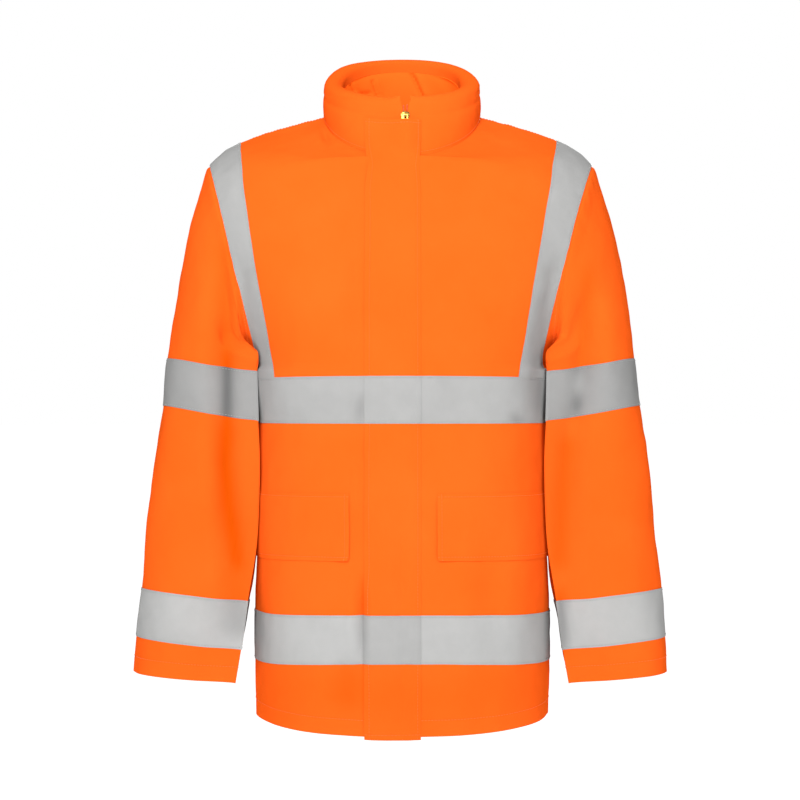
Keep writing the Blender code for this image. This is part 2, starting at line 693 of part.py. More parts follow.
def build_collar():
    """The outer layer with its rolled rim, and the inner layer below it, each with its normals."""
    columns = collar_columns()
    rows = [[collar_point(side, angle, share) for side, angle in columns] for share in COLLAR_SHARES]
    up = np.array((0.0, 0.0, 1.0))
    for turn in (0.0, *RIM_TURNS):
        row = []
        for side, angle in columns:
            rim, out = rim_point(side, angle)
            radius = rim_radius(angle)
            bend = math.radians(turn)
            row.append(rim - out * radius + (out * math.cos(bend) + up * math.sin(bend)) * radius)
        rows.append(row)
    turned = []
    for side, angle in columns:
        rim, out = rim_point(side, angle)
        turned.append(rim - out * 2 * rim_radius(angle) - up * RIM_TURN_DOWN)
    rows.append(turned)
    points = np.array(rows)
    normals = ring_normals(points, columns, False)
    for number, (side, angle) in enumerate(columns):
        seam, normal, way = neck_point(side, angle)
        points[0, number] = seam + way * SEAM_HALF
        normals[0, number] = normal

    inner_rows = []
    for share in INNER_SHARES:
        row = []
        for number, (side, angle) in enumerate(columns):
            low = neck_point(side, angle)[0] - rim_point(side, angle)[1] * COLLAR_LAYER_GAP
            row.append(lerp(low, turned[number], share))
        inner_rows.append(row)
    lining = inset(np.array(inner_rows), top=2 * SEAM_HALF)
    lining_normals = ring_normals(lining, columns, True)
    lining_normals[-1] = normals[-1]
    return points, normals, lining, lining_normals


def ring_normals(points, columns, inward):
    """Normals of a grid of the collar, away from the neck or towards it at its first point."""
    normals = grid_normals(points, np.array((0.0, 0.0, 0.0)))
    first_out = rim_point(*columns[0])[1]
    if (normals[0, 0] @ first_out > 0) == inward:
        normals = -normals
    return normals


# Zip

def zip_spine(front_right, front_left, collar, collar_normals):
    """Points up the middle of the zip, with the way out at each."""
    points = []
    ways = []
    for number in range(NECK_ROW_FRONT):
        points.append((front_right[0][number, 0] + front_left[0][number, 0]) / 2)
        ways.append(front_right[1][number, 0] + front_left[1][number, 0])
    for row in range(len(COLLAR_SHARES)):
        points.append((collar[row, 0] + collar[row, -1]) / 2)
        ways.append(collar_normals[row, 0] + collar_normals[row, -1])
    points = np.array(points)
    ways = np.array(ways)
    points[:, 0] = ZIP_X
    ways[:, 0] = 0.0
    ways /= np.linalg.norm(ways, axis=1, keepdims=True)
    return points, ways


def build_zip(points, ways, material, collection):
    """Closed chain with its two tapes, one strip from the hem to just under the slider."""
    outline = (
        (-ZIP_TAPE_HALF, ZIP_TAPE_BACK),
        (ZIP_TAPE_HALF, ZIP_TAPE_BACK),
        (ZIP_TAPE_HALF, ZIP_TAPE_FRONT),
        (CHAIN_HALF, ZIP_TAPE_FRONT),
        (CHAIN_HALF, CHAIN_PROUD),
        (-CHAIN_HALF, CHAIN_PROUD),
        (-CHAIN_HALF, ZIP_TAPE_FRONT),
        (-ZIP_TAPE_HALF, ZIP_TAPE_FRONT),
    )
    verts = []
    faces = []
    for point, way in zip(points, ways):
        for x, f in outline:
            verts.append(tuple(point + np.array((x, 0.0, 0.0)) + way * f))
    size = len(outline)
    for row in range(len(points) - 1):
        for k in range(size):
            a = row * size + k
            b = row * size + (k + 1) % size
            faces.append((a, b, b + size))
            faces.append((a, b + size, a + size))
    faces.append(tuple(range(size)))
    faces.append(tuple(range((len(points) - 1) * size, len(points) * size)))
    mesh = finish_mesh("zip_tape", verts, faces)
    return link(bpy.data.objects.new("zip_tape", mesh), material, collection)


def prism(name, outline, low, high, axis):
    """An outline in two directions, extruded between low and high along the third."""
    order = {"f": lambda a, b, c: (a, c, b), "x": lambda a, b, c: (c, b, a)}[axis]
    verts = [order(a, b, c) for c in (low, high) for a, b in outline]
    size = len(outline)
    faces = [tuple(range(size)), tuple(range(size, 2 * size))]
    faces += [(k, (k + 1) % size, size + (k + 1) % size, size + k) for k in range(size)]
    return bpy.data.objects.new(name, finish_mesh(name, verts, faces))


def combine(obj, others, operation, cutters):
    """Join or cut an object with helper shapes, which stay out of the model."""
    for other in others:
        other.hide_render = True
        other.display_type = "WIRE"
        cutters.objects.link(other)
        other.parent = obj
        step = obj.modifiers.new(other.name, "BOOLEAN")
        step.operation = operation
        step.object = other


def zip_frame():
    """Matrix of the slider's frame: columns across, out of the cloth, and up the zip."""
    edges = [math.degrees(math.asin((ZIP_SLOT_HALF + s * ZIP_X) / NECK_HALF_WIDTH)) for s in (-1, 1)]
    centre = (collar_point(-1, edges[0], SLIDER_SHARE) + collar_point(1, edges[1], SLIDER_SHARE)) / 2
    above = collar_point(1, edges[1], SLIDER_SHARE + 0.1)
    below = collar_point(1, edges[1], SLIDER_SHARE - 0.1)
    up = above - below
    up[0] = 0.0
    up = unit(up)
    out = np.array((0.0, -up[2], up[1]))
    frame = Matrix.Identity(4)
    for row in range(3):
        frame[row][0] = (-1.0, 0.0, 0.0)[row]
        frame[row][1] = out[row]
        frame[row][2] = up[row]
        frame[row][3] = (ZIP_X, centre[1], centre[2])[row]
    return frame


def build_slider(frame, brass, collection, cutters):
    front = prism("zip_slider", SLIDER_PLATE, *SLIDER_FRONT, "f")
    back = prism("slider_back", SLIDER_PLATE, *SLIDER_BACK, "f")
    half_x, half_u = SLIDER_NECK_HALF
    block = ((-half_x, -half_u), (half_x, -half_u), (half_x, half_u), (-half_x, half_u))
    neck = prism("slider_neck", block, SLIDER_BACK[1] - 0.0005, SLIDER_FRONT[0] + 0.0005, "f")
    arch = []
    turns = list(range(BAIL_STEPS + 1))
    for (reach, rise), turns in ((BAIL_OUTER, turns), (BAIL_INNER, turns[::-1])):
        for turn in turns:
            bend = math.pi * turn / BAIL_STEPS
            arch.append((reach * math.cos(bend), SLIDER_FRONT[1] - 0.0003 + rise * math.sin(bend)))
    bail = prism("slider_bail", arch, -BAIL_HALF_WIDTH, BAIL_HALF_WIDTH, "x")
    combine(front, (neck, back, bail), "UNION", cutters)
    link(front, brass, collection)
    front.matrix_world = frame
    return front


def build_pull(frame, brass, collection, cutters):
    pull = prism("zip_pull", PULL_OUTLINE, -PULL_HALF_THICK, PULL_HALF_THICK, "f")
    half_x, high, low = PULL_WINDOW
    outline = ((-half_x, low), (half_x, low), (half_x, high), (-half_x, high))
    window = prism("pull_window", outline, -2 * PULL_HALF_THICK, 2 * PULL_HALF_THICK, "f")
    combine(pull, (window,), "DIFFERENCE", cutters)
    link(pull, brass, collection)
    place = Matrix.Translation((0.0, PULL_PIVOT_OUT, 0.0)) @ Matrix.Rotation(-PULL_TILT, 4, "X")
    pull.matrix_world = frame @ place
    return pull


def build_studs(front, brass, collection):
    """Press studs between the right front and the storm flap."""
    points, normals = front
    heights = points[:, 1, 2]
    for number, height in enumerate(STUD_HEIGHTS):
        row = max(k for k in range(NECK_ROW_FRONT) if heights[k] < height)
        share = (height - heights[row]) / (heights[row + 1] - heights[row])
        pair = [lerp(points[row, k], points[row + 1, k], share) for k in (1, 2)]
        centre = lerp(pair[0], pair[1], STUD_ACROSS)
        way = unit(lerp(normals[row, 1], normals[row + 1, 1], share) + normals[row, 2])
        shape = bmesh.new()
        bmesh.ops.create_cone(
            shape, cap_ends=True, segments=12, radius1=STUD_RADIUS, radius2=STUD_RADIUS, depth=STUD_THICK
        )
        mesh = bpy.data.meshes.new(f"stud_{number + 1}")
        shape.to_mesh(mesh)
        shape.free()
        stud = link(bpy.data.objects.new(mesh.name, mesh), brass, collection)
        turn = Vector((0.0, 0.0, 1.0)).rotation_difference(Vector(way)).to_matrix().to_4x4()
        lift = STUD_GAP + STUD_THICK / 2
        stud.matrix_world = Matrix.Translation(Vector(centre + way * lift)) @ turn


def flap_base(front_right, front_left, collar):
    """The surface under the storm flap: five columns, hem to the middle of the collar."""
    rows = []
    for number in range(NECK_ROW_FRONT + 1):
        right = front_right[0][number]
        left = front_left[0][number]
        rows.append([right[2], right[1], right[0], left[0], left[1]])
    for row in range(1, len(COLLAR_SHARES)):
        rows.append([collar[row, 2], collar[row, 1], collar[row, 0], collar[row, -1], collar[row, -2]])
    points = np.array(rows)
    return points, grid_normals(points, np.array((0.0, -1.0, 0.0)))


def flap_lifts(rows):
    lifts = np.tile(np.array(FLAP_LIFTS), (rows, 1))
    lifts[NECK_ROW_FRONT] = lerp(FLAP_LIFTS, FLAP_LIFTS_COLLAR, 0.5)
    lifts[NECK_ROW_FRONT + 1:] = FLAP_LIFTS_COLLAR
    return lifts


def brace_half(points, normals):
    """Columns of a half body under the brace tape, chest band upwards."""
    first = section("chest_band_high", TORSO)
    return points[first:, 6:9], normals[first:, 6:9]


def build_bands(fronts, backs, sleeves, flap, silver, collection):
    for name, low_name, high_name in (
        ("chest_tape", "chest_band_low", "chest_band_high"),
        ("hem_tape", "hem_band_low", "hem_band_high"),
    ):
        low = section(low_name, TORSO)
        high = section(high_name, TORSO) + 1
        for side, word in ((-1, "right"), (1, "left")):
            points, normals = fronts[side]
            base = inset(points[low:high], left=TAPE_EDGE_IN, right=TAPE_EDGE_IN)
            laid_on(f"{name}_{word}", base, normals[low:high], LIE_GAP, TAPE, silver, collection)
        halves = []
        for points, normals in backs.values():
            base = inset(points[low:high], right=TAPE_EDGE_IN)
            ways = normals[low:high]
            halves.append((base + ways * (LIE_GAP + TAPE), base + ways * LIE_GAP))
        joined_wall(f"{name}_back", halves, high - low - 1, silver, collection)
        points, normals = flap
        base = inset(points[low:high], left=TAPE_EDGE_IN, right=TAPE_EDGE_IN)
        laid_on(f"{name}_flap", base, normals[low:high], LIE_GAP, TAPE, silver, collection)
    for side, word in ((-1, "right"), (1, "left")):
        front, front_ways = brace_half(*fronts[side])
        rear, rear_ways = brace_half(*backs[side])
        ridge = (front[-1] + rear[-1]) / 2
        points = np.concatenate([front[:-1], ridge[None], rear[-2::-1]])
        ways = np.concatenate([front_ways[:-1], front_ways[-1:], rear_ways[-2::-1]])
        base = inset(points, bottom=2 * TAPE_EDGE_IN, top=2 * TAPE_EDGE_IN)
        laid_on(
            f"brace_tape_{word}", base, ways, LIE_GAP, TAPE, silver, collection,
            turned_row=len(front) - 1,
        )
        points, normals = sleeves[side]
        for level, low_name, high_name in (
            ("upper", "band_high", "band_low"), ("lower", "cuff_band_high", "cuff_band_low"),
        ):
            low = section(low_name, SLEEVE) + 1
            high = section(high_name, SLEEVE) + 2
            laid_on(
                f"sleeve_tape_{level}_{word}", points[low:high], normals[low:high],
                LIE_GAP, TAPE, silver, collection, closed=True,
            )


def build_pockets(fronts, orange, collection):
    low = section("pocket_low", TORSO)
    high = section("pocket_high", TORSO) + 1
    for side, word, first in ((-1, "right", 3), (1, "left", 2)):
        points, normals = fronts[side]
        base = points[low:high, first:10]
        lifts = np.tile(np.array(POCKET_LIFTS)[:, None], (1, base.shape[1]))
        name = f"pocket_flap_{word}"
        laid_on(name, base, normals[low:high, first:10], lifts, FLAP_CLOTH, orange, collection)


def clear_scene():
    for obj in list(bpy.data.objects):
        bpy.data.objects.remove(obj, do_unlink=True)


def main():
    clear_scene()
    collection = bpy.data.collections.new(COLLECTION)
    cutters = bpy.data.collections.new("helpers")
    bpy.context.scene.collection.children.link(collection)
    bpy.context.scene.collection.children.link(cutters)
    orange = make_material("orange_cloth", ORANGE, 0.6)
    silver = make_material("silver_tape", SILVER, 0.4)
    brass = make_material("brass", BRASS, 0.3, 1.0)

    fronts = {side: build_body(side, False) for side in (-1, 1)}
    backs = {side: build_body(side, True) for side in (-1, 1)}
    sleeves = {side: build_sleeve(side) for side in (-1, 1)}
    torso_part = section("chest_band_low", TORSO)
    sleeve_parts = [section(name, SLEEVE) + 1 for name in ("upper_1", "band_high", "band_low")]
    for side, word in ((-1, "right"), (1, "left")):
        lower, upper = parted(*fronts[side], torso_part)
        wall(f"front_{word}_lower", *lower, orange, collection)
        wall(f"front_{word}_upper", *upper, orange, collection)
        parts = parted(*sleeves[side], *sleeve_parts)
        for level, part in zip(("cap", "upper", "band", "lower"), parts):
            wall(f"sleeve_{word}_{level}", *part, orange, collection, closed=True)
    middle = backs[-1][1][:NECK_ROW_BACK + 1, 0] + backs[1][1][:NECK_ROW_BACK + 1, 0]
    middle[:, 0] = 0.0
    middle /= np.linalg.norm(middle, axis=1, keepdims=True)
    for points, normals in backs.values():
        points[:NECK_ROW_BACK + 1, 0, 0] = 0.0
        normals[:NECK_ROW_BACK + 1, 0] = middle
    lower, upper = zip(*(parted(points, normals, torso_part) for points, normals in backs.values()))
    joined_wall("back_lower", lower, torso_part, orange, collection)
    joined_wall("back_upper", upper, NECK_ROW_BACK - torso_part, orange, collection)

    collar, collar_normals, lining, lining_normals = build_collar()
    wall("collar", collar, collar - collar_normals * CLOTH, orange, collection)
    wall("collar_inner", lining, lining - lining_normals * CLOTH, orange, collection)

    base, base_normals = flap_base(fronts[-1], fronts[1], collar)
    lifts = flap_lifts(len(base))
    base = inset(base, bottom=-FLAP_BELOW_HEM)
    laid_on("storm_flap", base, base_normals, lifts, FLAP_CLOTH, orange, collection)
    flap_points = base + base_normals * (lifts + FLAP_CLOTH)[..., None]
    flap = (flap_points, base_normals)

    build_pockets(fronts, orange, collection)
    build_bands(fronts, backs, sleeves, flap, silver, collection)
    spine, ways = zip_spine(fronts[-1], fronts[1], collar, collar_normals)
    spine = inset(spine[:, None], top=ZIP_END_IN)[:, 0]
    build_zip(spine, ways, orange, collection)
    frame = zip_frame()
    build_slider(frame, brass, collection, cutters)
    build_pull(frame, brass, collection, cutters)
    build_studs(fronts[-1], brass, collection)


main()
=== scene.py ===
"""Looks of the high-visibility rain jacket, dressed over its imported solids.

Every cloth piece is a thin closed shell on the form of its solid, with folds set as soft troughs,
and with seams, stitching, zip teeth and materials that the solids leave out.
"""
import math

import bpy
import numpy as np
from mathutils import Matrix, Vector


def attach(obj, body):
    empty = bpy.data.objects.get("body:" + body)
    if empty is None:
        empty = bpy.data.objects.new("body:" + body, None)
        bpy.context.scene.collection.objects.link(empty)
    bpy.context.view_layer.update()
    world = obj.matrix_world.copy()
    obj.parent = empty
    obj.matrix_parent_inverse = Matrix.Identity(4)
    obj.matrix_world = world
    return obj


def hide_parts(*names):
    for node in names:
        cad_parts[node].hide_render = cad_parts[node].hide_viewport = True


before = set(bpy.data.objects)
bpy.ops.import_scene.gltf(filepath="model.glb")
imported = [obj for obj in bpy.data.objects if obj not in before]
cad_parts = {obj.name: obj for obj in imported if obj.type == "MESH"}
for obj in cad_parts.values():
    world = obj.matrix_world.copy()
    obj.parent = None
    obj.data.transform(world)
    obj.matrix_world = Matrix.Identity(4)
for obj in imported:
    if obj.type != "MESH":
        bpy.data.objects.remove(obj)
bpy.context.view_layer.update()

# Sizes of the form, as in the solids, apart from cloth and tapes, which are drawn thinner

CLOTH = 0.0012
FLAP_CLOTH = 0.0012
FLAP_EDGE = 0.0004
FLAP_WIDTH = 0.069
POCKET_CLOTH = 0.0009
POCKET_EDGE = 0.0003
TAPE = 0.0006
TAPE_LIE = 0.00025
SEAM_HALF = 0.00006
ZIP_X = 0.0040
ZIP_SLOT_HALF = 0.0028

NECK_HALF_WIDTH = 0.101
NECK_FRONT = 0.095
NECK_BACK = 0.079
NECK_FRONT_DROP = 0.0623
NECK_BACK_RISE = 0.006
NECK_BLEND = 0.015
NECK_NORMAL_FRONT = (0.22, 0.40)
NECK_NORMAL_BACK = (0.30, 0.32)
RIM_HALF_WIDTH = 0.1015
RIM_HALF_DEPTH = 0.0800
RIM_MID_Y = -0.0020
RIM_FRONT_Z = 0.0070
RIM_BACK_Z = 0.0800
RIM_RADIUS = 0.0085
RIM_SIDE_MORE = 0.0045
RIM_TURN_DOWN = 0.010
COLLAR_SWELL = 0.0012
COLLAR_LAYER_GAP = 0.0100
NECK_ANGLES_FRONT = (13.1, 27.0, 46.0, 68.0)
NECK_ANGLES_BACK = (112.0, 135.0, 158.0)

ARMHOLE_ANGLES = (180, 160, 143, 128, 114, 101, 88, 75, 62, 50, 41, 32, 22, 11, 0)
FOLD_IN = 0.0012
FOLD_IN_LOW = 0.0030
FOLD_DOWN = 0.0050
FOLD_FORWARD = 0.0060
SIDE_SEAM_IN = 0.0040

# columns: name, z at the centre front, z at the side and back, half width, depth front, back
TORSO = (
    ("hem", -0.7770, -0.7680, 0.1872, 0.1580, 0.1500),
    ("hem_band_low", -0.6880, -0.6985, 0.1888, 0.1570, 0.1490),
    ("hem_band_high", -0.6290, -0.6355, 0.1886, 0.1560, 0.1480),
    ("pocket_low", -0.5630, -0.5665, 0.1876, 0.1550, 0.1460),
    ("pocket_middle", -0.5450, -0.5470, 0.1873, 0.1545, 0.1450),
    ("pocket_high", -0.4810, -0.4820, 0.1867, 0.1535, 0.1425),
    ("waist", -0.4380, -0.4380, 0.1865, 0.1535, 0.1415),
    ("chest_band_low", -0.3958, -0.3960, 0.1865, 0.1540, 0.1420),
    ("chest_band_high", -0.3376, -0.3395, 0.1925, 0.1545, 0.1440),
)
# columns: z at the centre front, y there, z at the centre back, y there
CENTRE_LINES = (
    (-0.3240, -0.1535, -0.3240, 0.1455),
    (-0.3090, -0.1515, -0.3090, 0.1465),
    (-0.2920, -0.1485, -0.2920, 0.1475),
    (-0.2700, -0.1445, -0.2700, 0.1485),
    (-0.2400, -0.1390, -0.2400, 0.1490),
    (-0.2050, -0.1320, -0.2050, 0.1480),
    (-0.1700, -0.1240, -0.1680, 0.1450),
    (-0.1350, -0.1150, -0.1280, 0.1390),
    (-0.1000, -0.1055, -0.0860, 0.1270),
    (-NECK_FRONT_DROP, -NECK_FRONT, -0.0420, 0.1070),
)
UNDER_ARM_Z = -0.3310
UNDER_ARM_Y_FRONT = -0.1540
UNDER_ARM_Y_BACK = 0.1450
UNDER_ARM_DROP = 0.0035
UNDER_ARM_SHARE_OUT = 0.2
UNDER_ARM_FOLD = 0.0020
UNDER_ARM_NORMAL = (0.8, 0.0, -0.6)

PULL_CENTRE = (0.50, 0.34)
PULL_EDGE = (0.46, 0.24)
SHOULDER_SLOPE_NECK = 0.27
EDGE_WAY_MID = (0.81, 0.58, 0.0)
EDGE_WAY_TIP = (0.42, 0.0, -0.91)

FRONT_COLUMNS = {
    -1: (ZIP_SLOT_HALF - ZIP_X, 0.0229, 0.0459, 0.0646, 0.0950, 0.1270),
    1: (ZIP_SLOT_HALF + ZIP_X, 0.0229, 0.0427, 0.0670, 0.0970, 0.1280),
}
BACK_COLUMNS = (0.0, 0.0300, 0.0600, 0.0900, 0.1150, 0.1380)
TAPE_SHARE_LOW = 0.60
TAPE_SHARES = (0.60, 0.66, 0.74, 0.82, 0.89, 0.94, 0.96, 0.97, 0.97, 0.97, 0.97, 0.97, 0.97, 0.97, 0.97)
BRACE_EDGE_SHARE = 0.7
BRACE_EDGE = {
    -1: ((-0.335, 0.1586), (-0.234, 0.1760), (-0.155, 0.1894), (-0.083, 0.2017), (-0.039, 0.2105)),
    1: ((-0.337, 0.1433), (-0.2245, 0.1618), (-0.1286, 0.1803), (-0.0833, 0.1898), (-0.033, 0.2041)),
}

# columns: name, outer x right, outer x left, outer z, inner x, inner z, half depth, y of the
# middle, how far the front and back bend in, squareness, how far the front rises over the back
SLEEVE = (
    ("armhole", 0.2495, 0.2465, -0.0650, 0.1950, -0.3220, 0.0880, 0.000, 0.0080, 2.0, 0.0),
    ("cap", 0.2590, 0.2570, -0.0900, 0.1965, -0.3290, 0.0885, 0.002, 0.0075, 2.0, 0.0),
    ("cap_low", 0.2745, 0.2718, -0.1370, 0.1970, -0.3300, 0.0880, 0.006, 0.0050, 2.1, 0.01),
    ("upper_1", 0.2852, 0.2835, -0.1850, 0.1970, -0.3311, 0.0865, 0.010, 0.0030, 2.1, 0.02),
    ("upper_2", 0.2922, 0.2920, -0.2350, 0.1965, -0.3323, 0.0850, 0.012, 0.0015, 2.2, 0.03),
    ("upper_3", 0.2995, 0.2982, -0.2800, 0.1955, -0.3336, 0.0830, 0.014, 0.0, 2.3, 0.04),
    ("band_high", 0.3050, 0.3022, -0.3142, 0.1945, -0.3352, 0.0815, 0.015, 0.0, 2.4, 0.04),
    ("band_low", 0.3112, 0.3092, -0.3748, 0.1870, -0.3980, 0.0790, 0.015, 0.0, 2.6, 0.04),
    ("elbow_high", 0.3190, 0.3166, -0.4250, 0.1850, -0.4430, 0.0765, 0.014, 0.0, 2.6, 0.05),
    ("elbow", 0.3262, 0.3235, -0.4850, 0.1850, -0.5000, 0.0730, 0.012, 0.0, 2.5, 0.05),
    ("fore_1", 0.3330, 0.3302, -0.5450, 0.1890, -0.5560, 0.0700, 0.008, 0.0, 2.4, 0.06),
    ("cuff_band_high", 0.3365, 0.3354, -0.6100, 0.2005, -0.6265, 0.0680, 0.000, 0.0, 2.3, 0.06),
    ("cuff_band_low", 0.3430, 0.3403, -0.6715, 0.2092, -0.6877, 0.0660, -0.006, 0.0, 2.3, 0.06),
    ("cuff", 0.3465, 0.3423, -0.7170, 0.2165, -0.7290, 0.0645, -0.010, 0.0, 2.2, 0.06),
)
BEND_IN_LEFT = 0.0140
CLEAR_TAPED = 0.0022
CLEAR_POCKET = 0.0036
CLEAR_PLAIN = 0.0008
CLEAR_POCKET_Y = 0.0050
CLEAR_ROUNDING = 0.0008
CHEST_BAND_REACH = (-0.412, -0.333)
POCKET_REACH = (-0.585, -0.468)
# Where the inner front of a sleeve is squarer. columns: section, share
SQUARE_ROWS = ((3, 0.0), (6, 0.7), (7, 1.0), (9, 1.0), (11, 0.4), (12, 0.0))
SQUARE_POWER = 8.0
# Where the underarm lies close to the body: angle from which it does, and between which z, each
# with how far it takes
HUG_ANGLE = 138.0
HUG_TURN = 20.0
HUG_REACH = (-0.5350, -0.3180)
HUG_BLEND = 0.020
# The inner edge of a sleeve's front, seen as the sleeve's outline beside the body: its angle and
# half width in degrees, how far it stands forward and, at the armpit, how far towards the body, each
# above a z, the z below which it is formed, the angle at which the underarm is back on its section,
# and how far around the edge no wave or fold moves it
LIP_ANGLE = 130.0
LIP_HALF = 10.0
LIP_FORWARD = 0.0080
LIP_FORWARD_FROM = -0.5800
LIP_FORWARD_OVER = 0.060
LIP_ARMPIT_IN = 0.010
LIP_ARMPIT_FROM = -0.3720
LIP_ARMPIT_OVER = 0.030
LIP_TOP = -0.2960
LIP_BLEND = 0.026
LIP_BACK_TO = 160.0
LIP_GUARD = 15.0

FORWARD = np.array((0.0, -1.0, 0.0))
FLAP_BELOW_HEM = 0.0035
FLAP_TOP_SHARE = 0.66
STUD_HEIGHTS = (-0.0940, -0.2580, -0.4270, -0.5950, -0.7550)
STUD_ACROSS = 0.35
STUD_RADIUS = 0.0060
STUD_TOP = 0.0018
STUD_SWELL = 0.034
LEAST_LIFT = 0.0003
# How far the storm flap lies off the fronts and the collar: more to its stitched side, on the
# collar, and over the pull tab and around each stud
LIFT_AT_SIDE = 0.0005
LIFT_ON_COLLAR = 0.0004
LIFT_OVER_PULL = 0.0058
LIFT_PULL_HALF = 0.014
COLLAR_LIFT_FROM = -0.070
COLLAR_LIFT_OVER = 0.030
STUD_FLAT = 0.001
STUD_DIMPLE = 0.0002
STUD_DIMPLE_HALF = 0.0035
# How far in from the storm flap's long edges its tapes end, in columns of its grid
FLAP_TAPE_IN = 0.05
SLIDER_SHARE = 0.745

# Fineness, and how close two points are taken for one
SAME_POINT = 1e-7
CELL = 0.0042
FLAP_ROWS = 200
FLAP_ROWS_COLLAR = 14
FLAP_SMOOTHINGS = 6
SLEEVE_STEPS = 5
COLLAR_STEPS = 14
CURVE_SAMPLES = 241
QUARTER_SAMPLES = 900
FLAP_COLS_RIGHT, FLAP_COLS_LEFT = 15, 7
FLAP_TAPE_ROWS, FLAP_TAPE_COLS = 17, 30
POCKET_ROWS, POCKET_COLS = 27, 44
ZIP_ROWS, ZIP_ROWS_COLLAR = 150, 23

# Camera
CAMERA = (-0.0026, -2.4, -0.367)
FOCAL_PIXELS = 1846
FRAME_PIXELS = 800
SENSOR = 36.0
AMBIENT = 0.40
FLOOR_GLOW = 0.70

# Folds. Each is a soft trough, its path given by x and z as seen from one side: for the front where
# the line of sight crosses the plane of the side seams, and for the back straight from behind.
# columns: piece, path, half width, depth, share of depth that stands up beside it
FRONT_FOLDS = (
    ("sleeve_right", ((-0.2314, -0.165), (-0.2288, -0.232), (-0.2275, -0.289), (-0.2275, -0.348),
                      (-0.2275, -0.401), (-0.2249, -0.458), (-0.2223, -0.513), (-0.2124, -0.562),
                      (-0.2067, -0.614), (-0.2040, -0.690)), 0.0150, 0.0095, 0.22),
    ("sleeve_left", ((0.2470, -0.200), (0.2379, -0.276), (0.2275, -0.361), (0.2145, -0.419),
                     (0.2093, -0.471), (0.2067, -0.510), (0.2015, -0.575), (0.2054, -0.614),
                     (0.2100, -0.700)), 0.0165, 0.0100, 0.22),
    ("front_right", ((-0.2119, -0.160), (-0.2060, -0.215), (-0.2002, -0.275)), 0.0100, 0.0020, 0.2),
    ("front_left", ((0.2089, -0.150), (0.1989, -0.215), (0.1872, -0.280), (0.1794, -0.341),
                    (0.1781, -0.400)), 0.0120, 0.0040, 0.2),
    ("front_right", ((-0.0572, -0.150), (-0.0585, -0.276), (-0.0598, -0.400)), 0.0120, 0.0026, 0.2),
    ("front_right", ((-0.0520, -0.400), (-0.0520, -0.480), (-0.0520, -0.560)), 0.0050, 0.0020, 0.2),
    ("front_right", ((-0.0585, -0.480), (-0.0598, -0.600)), 0.0100, 0.0022, 0.2),
    ("front_right", ((-0.0530, -0.570), (-0.0540, -0.627), (-0.0530, -0.680), (-0.0510, -0.745)),
     0.0065, 0.0060, 0.2),
    ("front_right", ((-0.0676, -0.690), (-0.0832, -0.745), (-0.0910, -0.800)), 0.0220, 0.0030, 0.2),
    ("front_right", ((-0.1050, -0.004), (-0.1001, -0.0186), (-0.0936, -0.045)), 0.0050, 0.0035, 0.3),
)

# Painted shade: where folds, the hem and the outer sides of the sleeves look darker, since less light
# reaches them, given in the same way.
# columns: pieces, path, half width, share darker
SLEEVE_RIGHT = ("sleeve_right", "sleeve_tape_upper_right", "sleeve_tape_lower_right")
SLEEVE_LEFT = ("sleeve_left", "sleeve_tape_upper_left", "sleeve_tape_lower_left")
FRONT_RIGHT = ("front_right", "chest_tape_right", "hem_tape_right", "pocket_flap_right")
FRONT_LEFT = ("front_left", "chest_tape_left", "hem_tape_left", "pocket_flap_left")
BACK = ("back", "chest_tape_back", "hem_tape_back")
HEM = ("front_right", "front_left", "storm_flap")
FRONT_SHADES = (
    (HEM, ((-0.2300, -0.7480), (0.0000, -0.7540), (0.2300, -0.7480)), 0.0350, 0.20),
    (SLEEVE_RIGHT, ((-0.2900, -0.300), (-0.2950, -0.420), (-0.3000, -0.480)), 0.0500, 0.12),
    (SLEEVE_LEFT, ((0.2900, -0.300), (0.2950, -0.420), (0.2900, -0.540)), 0.0500, 0.12),
    (SLEEVE_RIGHT, ((-0.2320, -0.150), (-0.2300, -0.230), (-0.2288, -0.330)), 0.0110, 0.30),
    (SLEEVE_RIGHT, ((-0.2285, -0.290), (-0.2275, -0.340), (-0.2275, -0.400), (-0.2300, -0.450),
                    (-0.2260, -0.500), (-0.2190, -0.545), (-0.2120, -0.600)), 0.0085, 0.85),
    (("sleeve_right",), ((-0.2290, -0.385), (-0.2300, -0.440), (-0.2260, -0.500), (-0.2190, -0.545),
                         (-0.2120, -0.600)), 0.0140, 0.55),
    (SLEEVE_RIGHT, ((-0.2170, -0.570), (-0.2150, -0.620), (-0.2140, -0.690)), 0.0200, 0.35),
    (SLEEVE_LEFT, ((0.2430, -0.180), (0.2379, -0.276), (0.2290, -0.350)), 0.0110, 0.30),
    (SLEEVE_LEFT, ((0.2300, -0.345), (0.2275, -0.370), (0.2230, -0.400)), 0.0080, 0.55),
    (SLEEVE_LEFT, ((0.2145, -0.400), (0.2093, -0.471), (0.2060, -0.530), (0.2040, -0.600)),
     0.0130, 0.50),
    (SLEEVE_LEFT, ((0.2060, -0.600), (0.2070, -0.650), (0.2100, -0.710)), 0.0085, 0.60),
    (FRONT_RIGHT, ((-0.0540, -0.350), (-0.0545, -0.385), (-0.0540, -0.410)), 0.0070, 0.30),
    (FRONT_RIGHT, ((-0.0500, -0.590), (-0.0460, -0.660), (-0.0450, -0.780)), 0.0050, 0.60),
    (FRONT_RIGHT, ((-0.0640, -0.700), (-0.0700, -0.740), (-0.0760, -0.780)), 0.0190, 0.30),
    (FRONT_LEFT, ((0.1400, -0.378), (0.1480, -0.392), (0.1640, -0.398)), 0.0070, 0.35),
    (FRONT_LEFT, ((0.1850, -0.270), (0.1790, -0.341), (0.1781, -0.400)), 0.0070, 0.30),
)
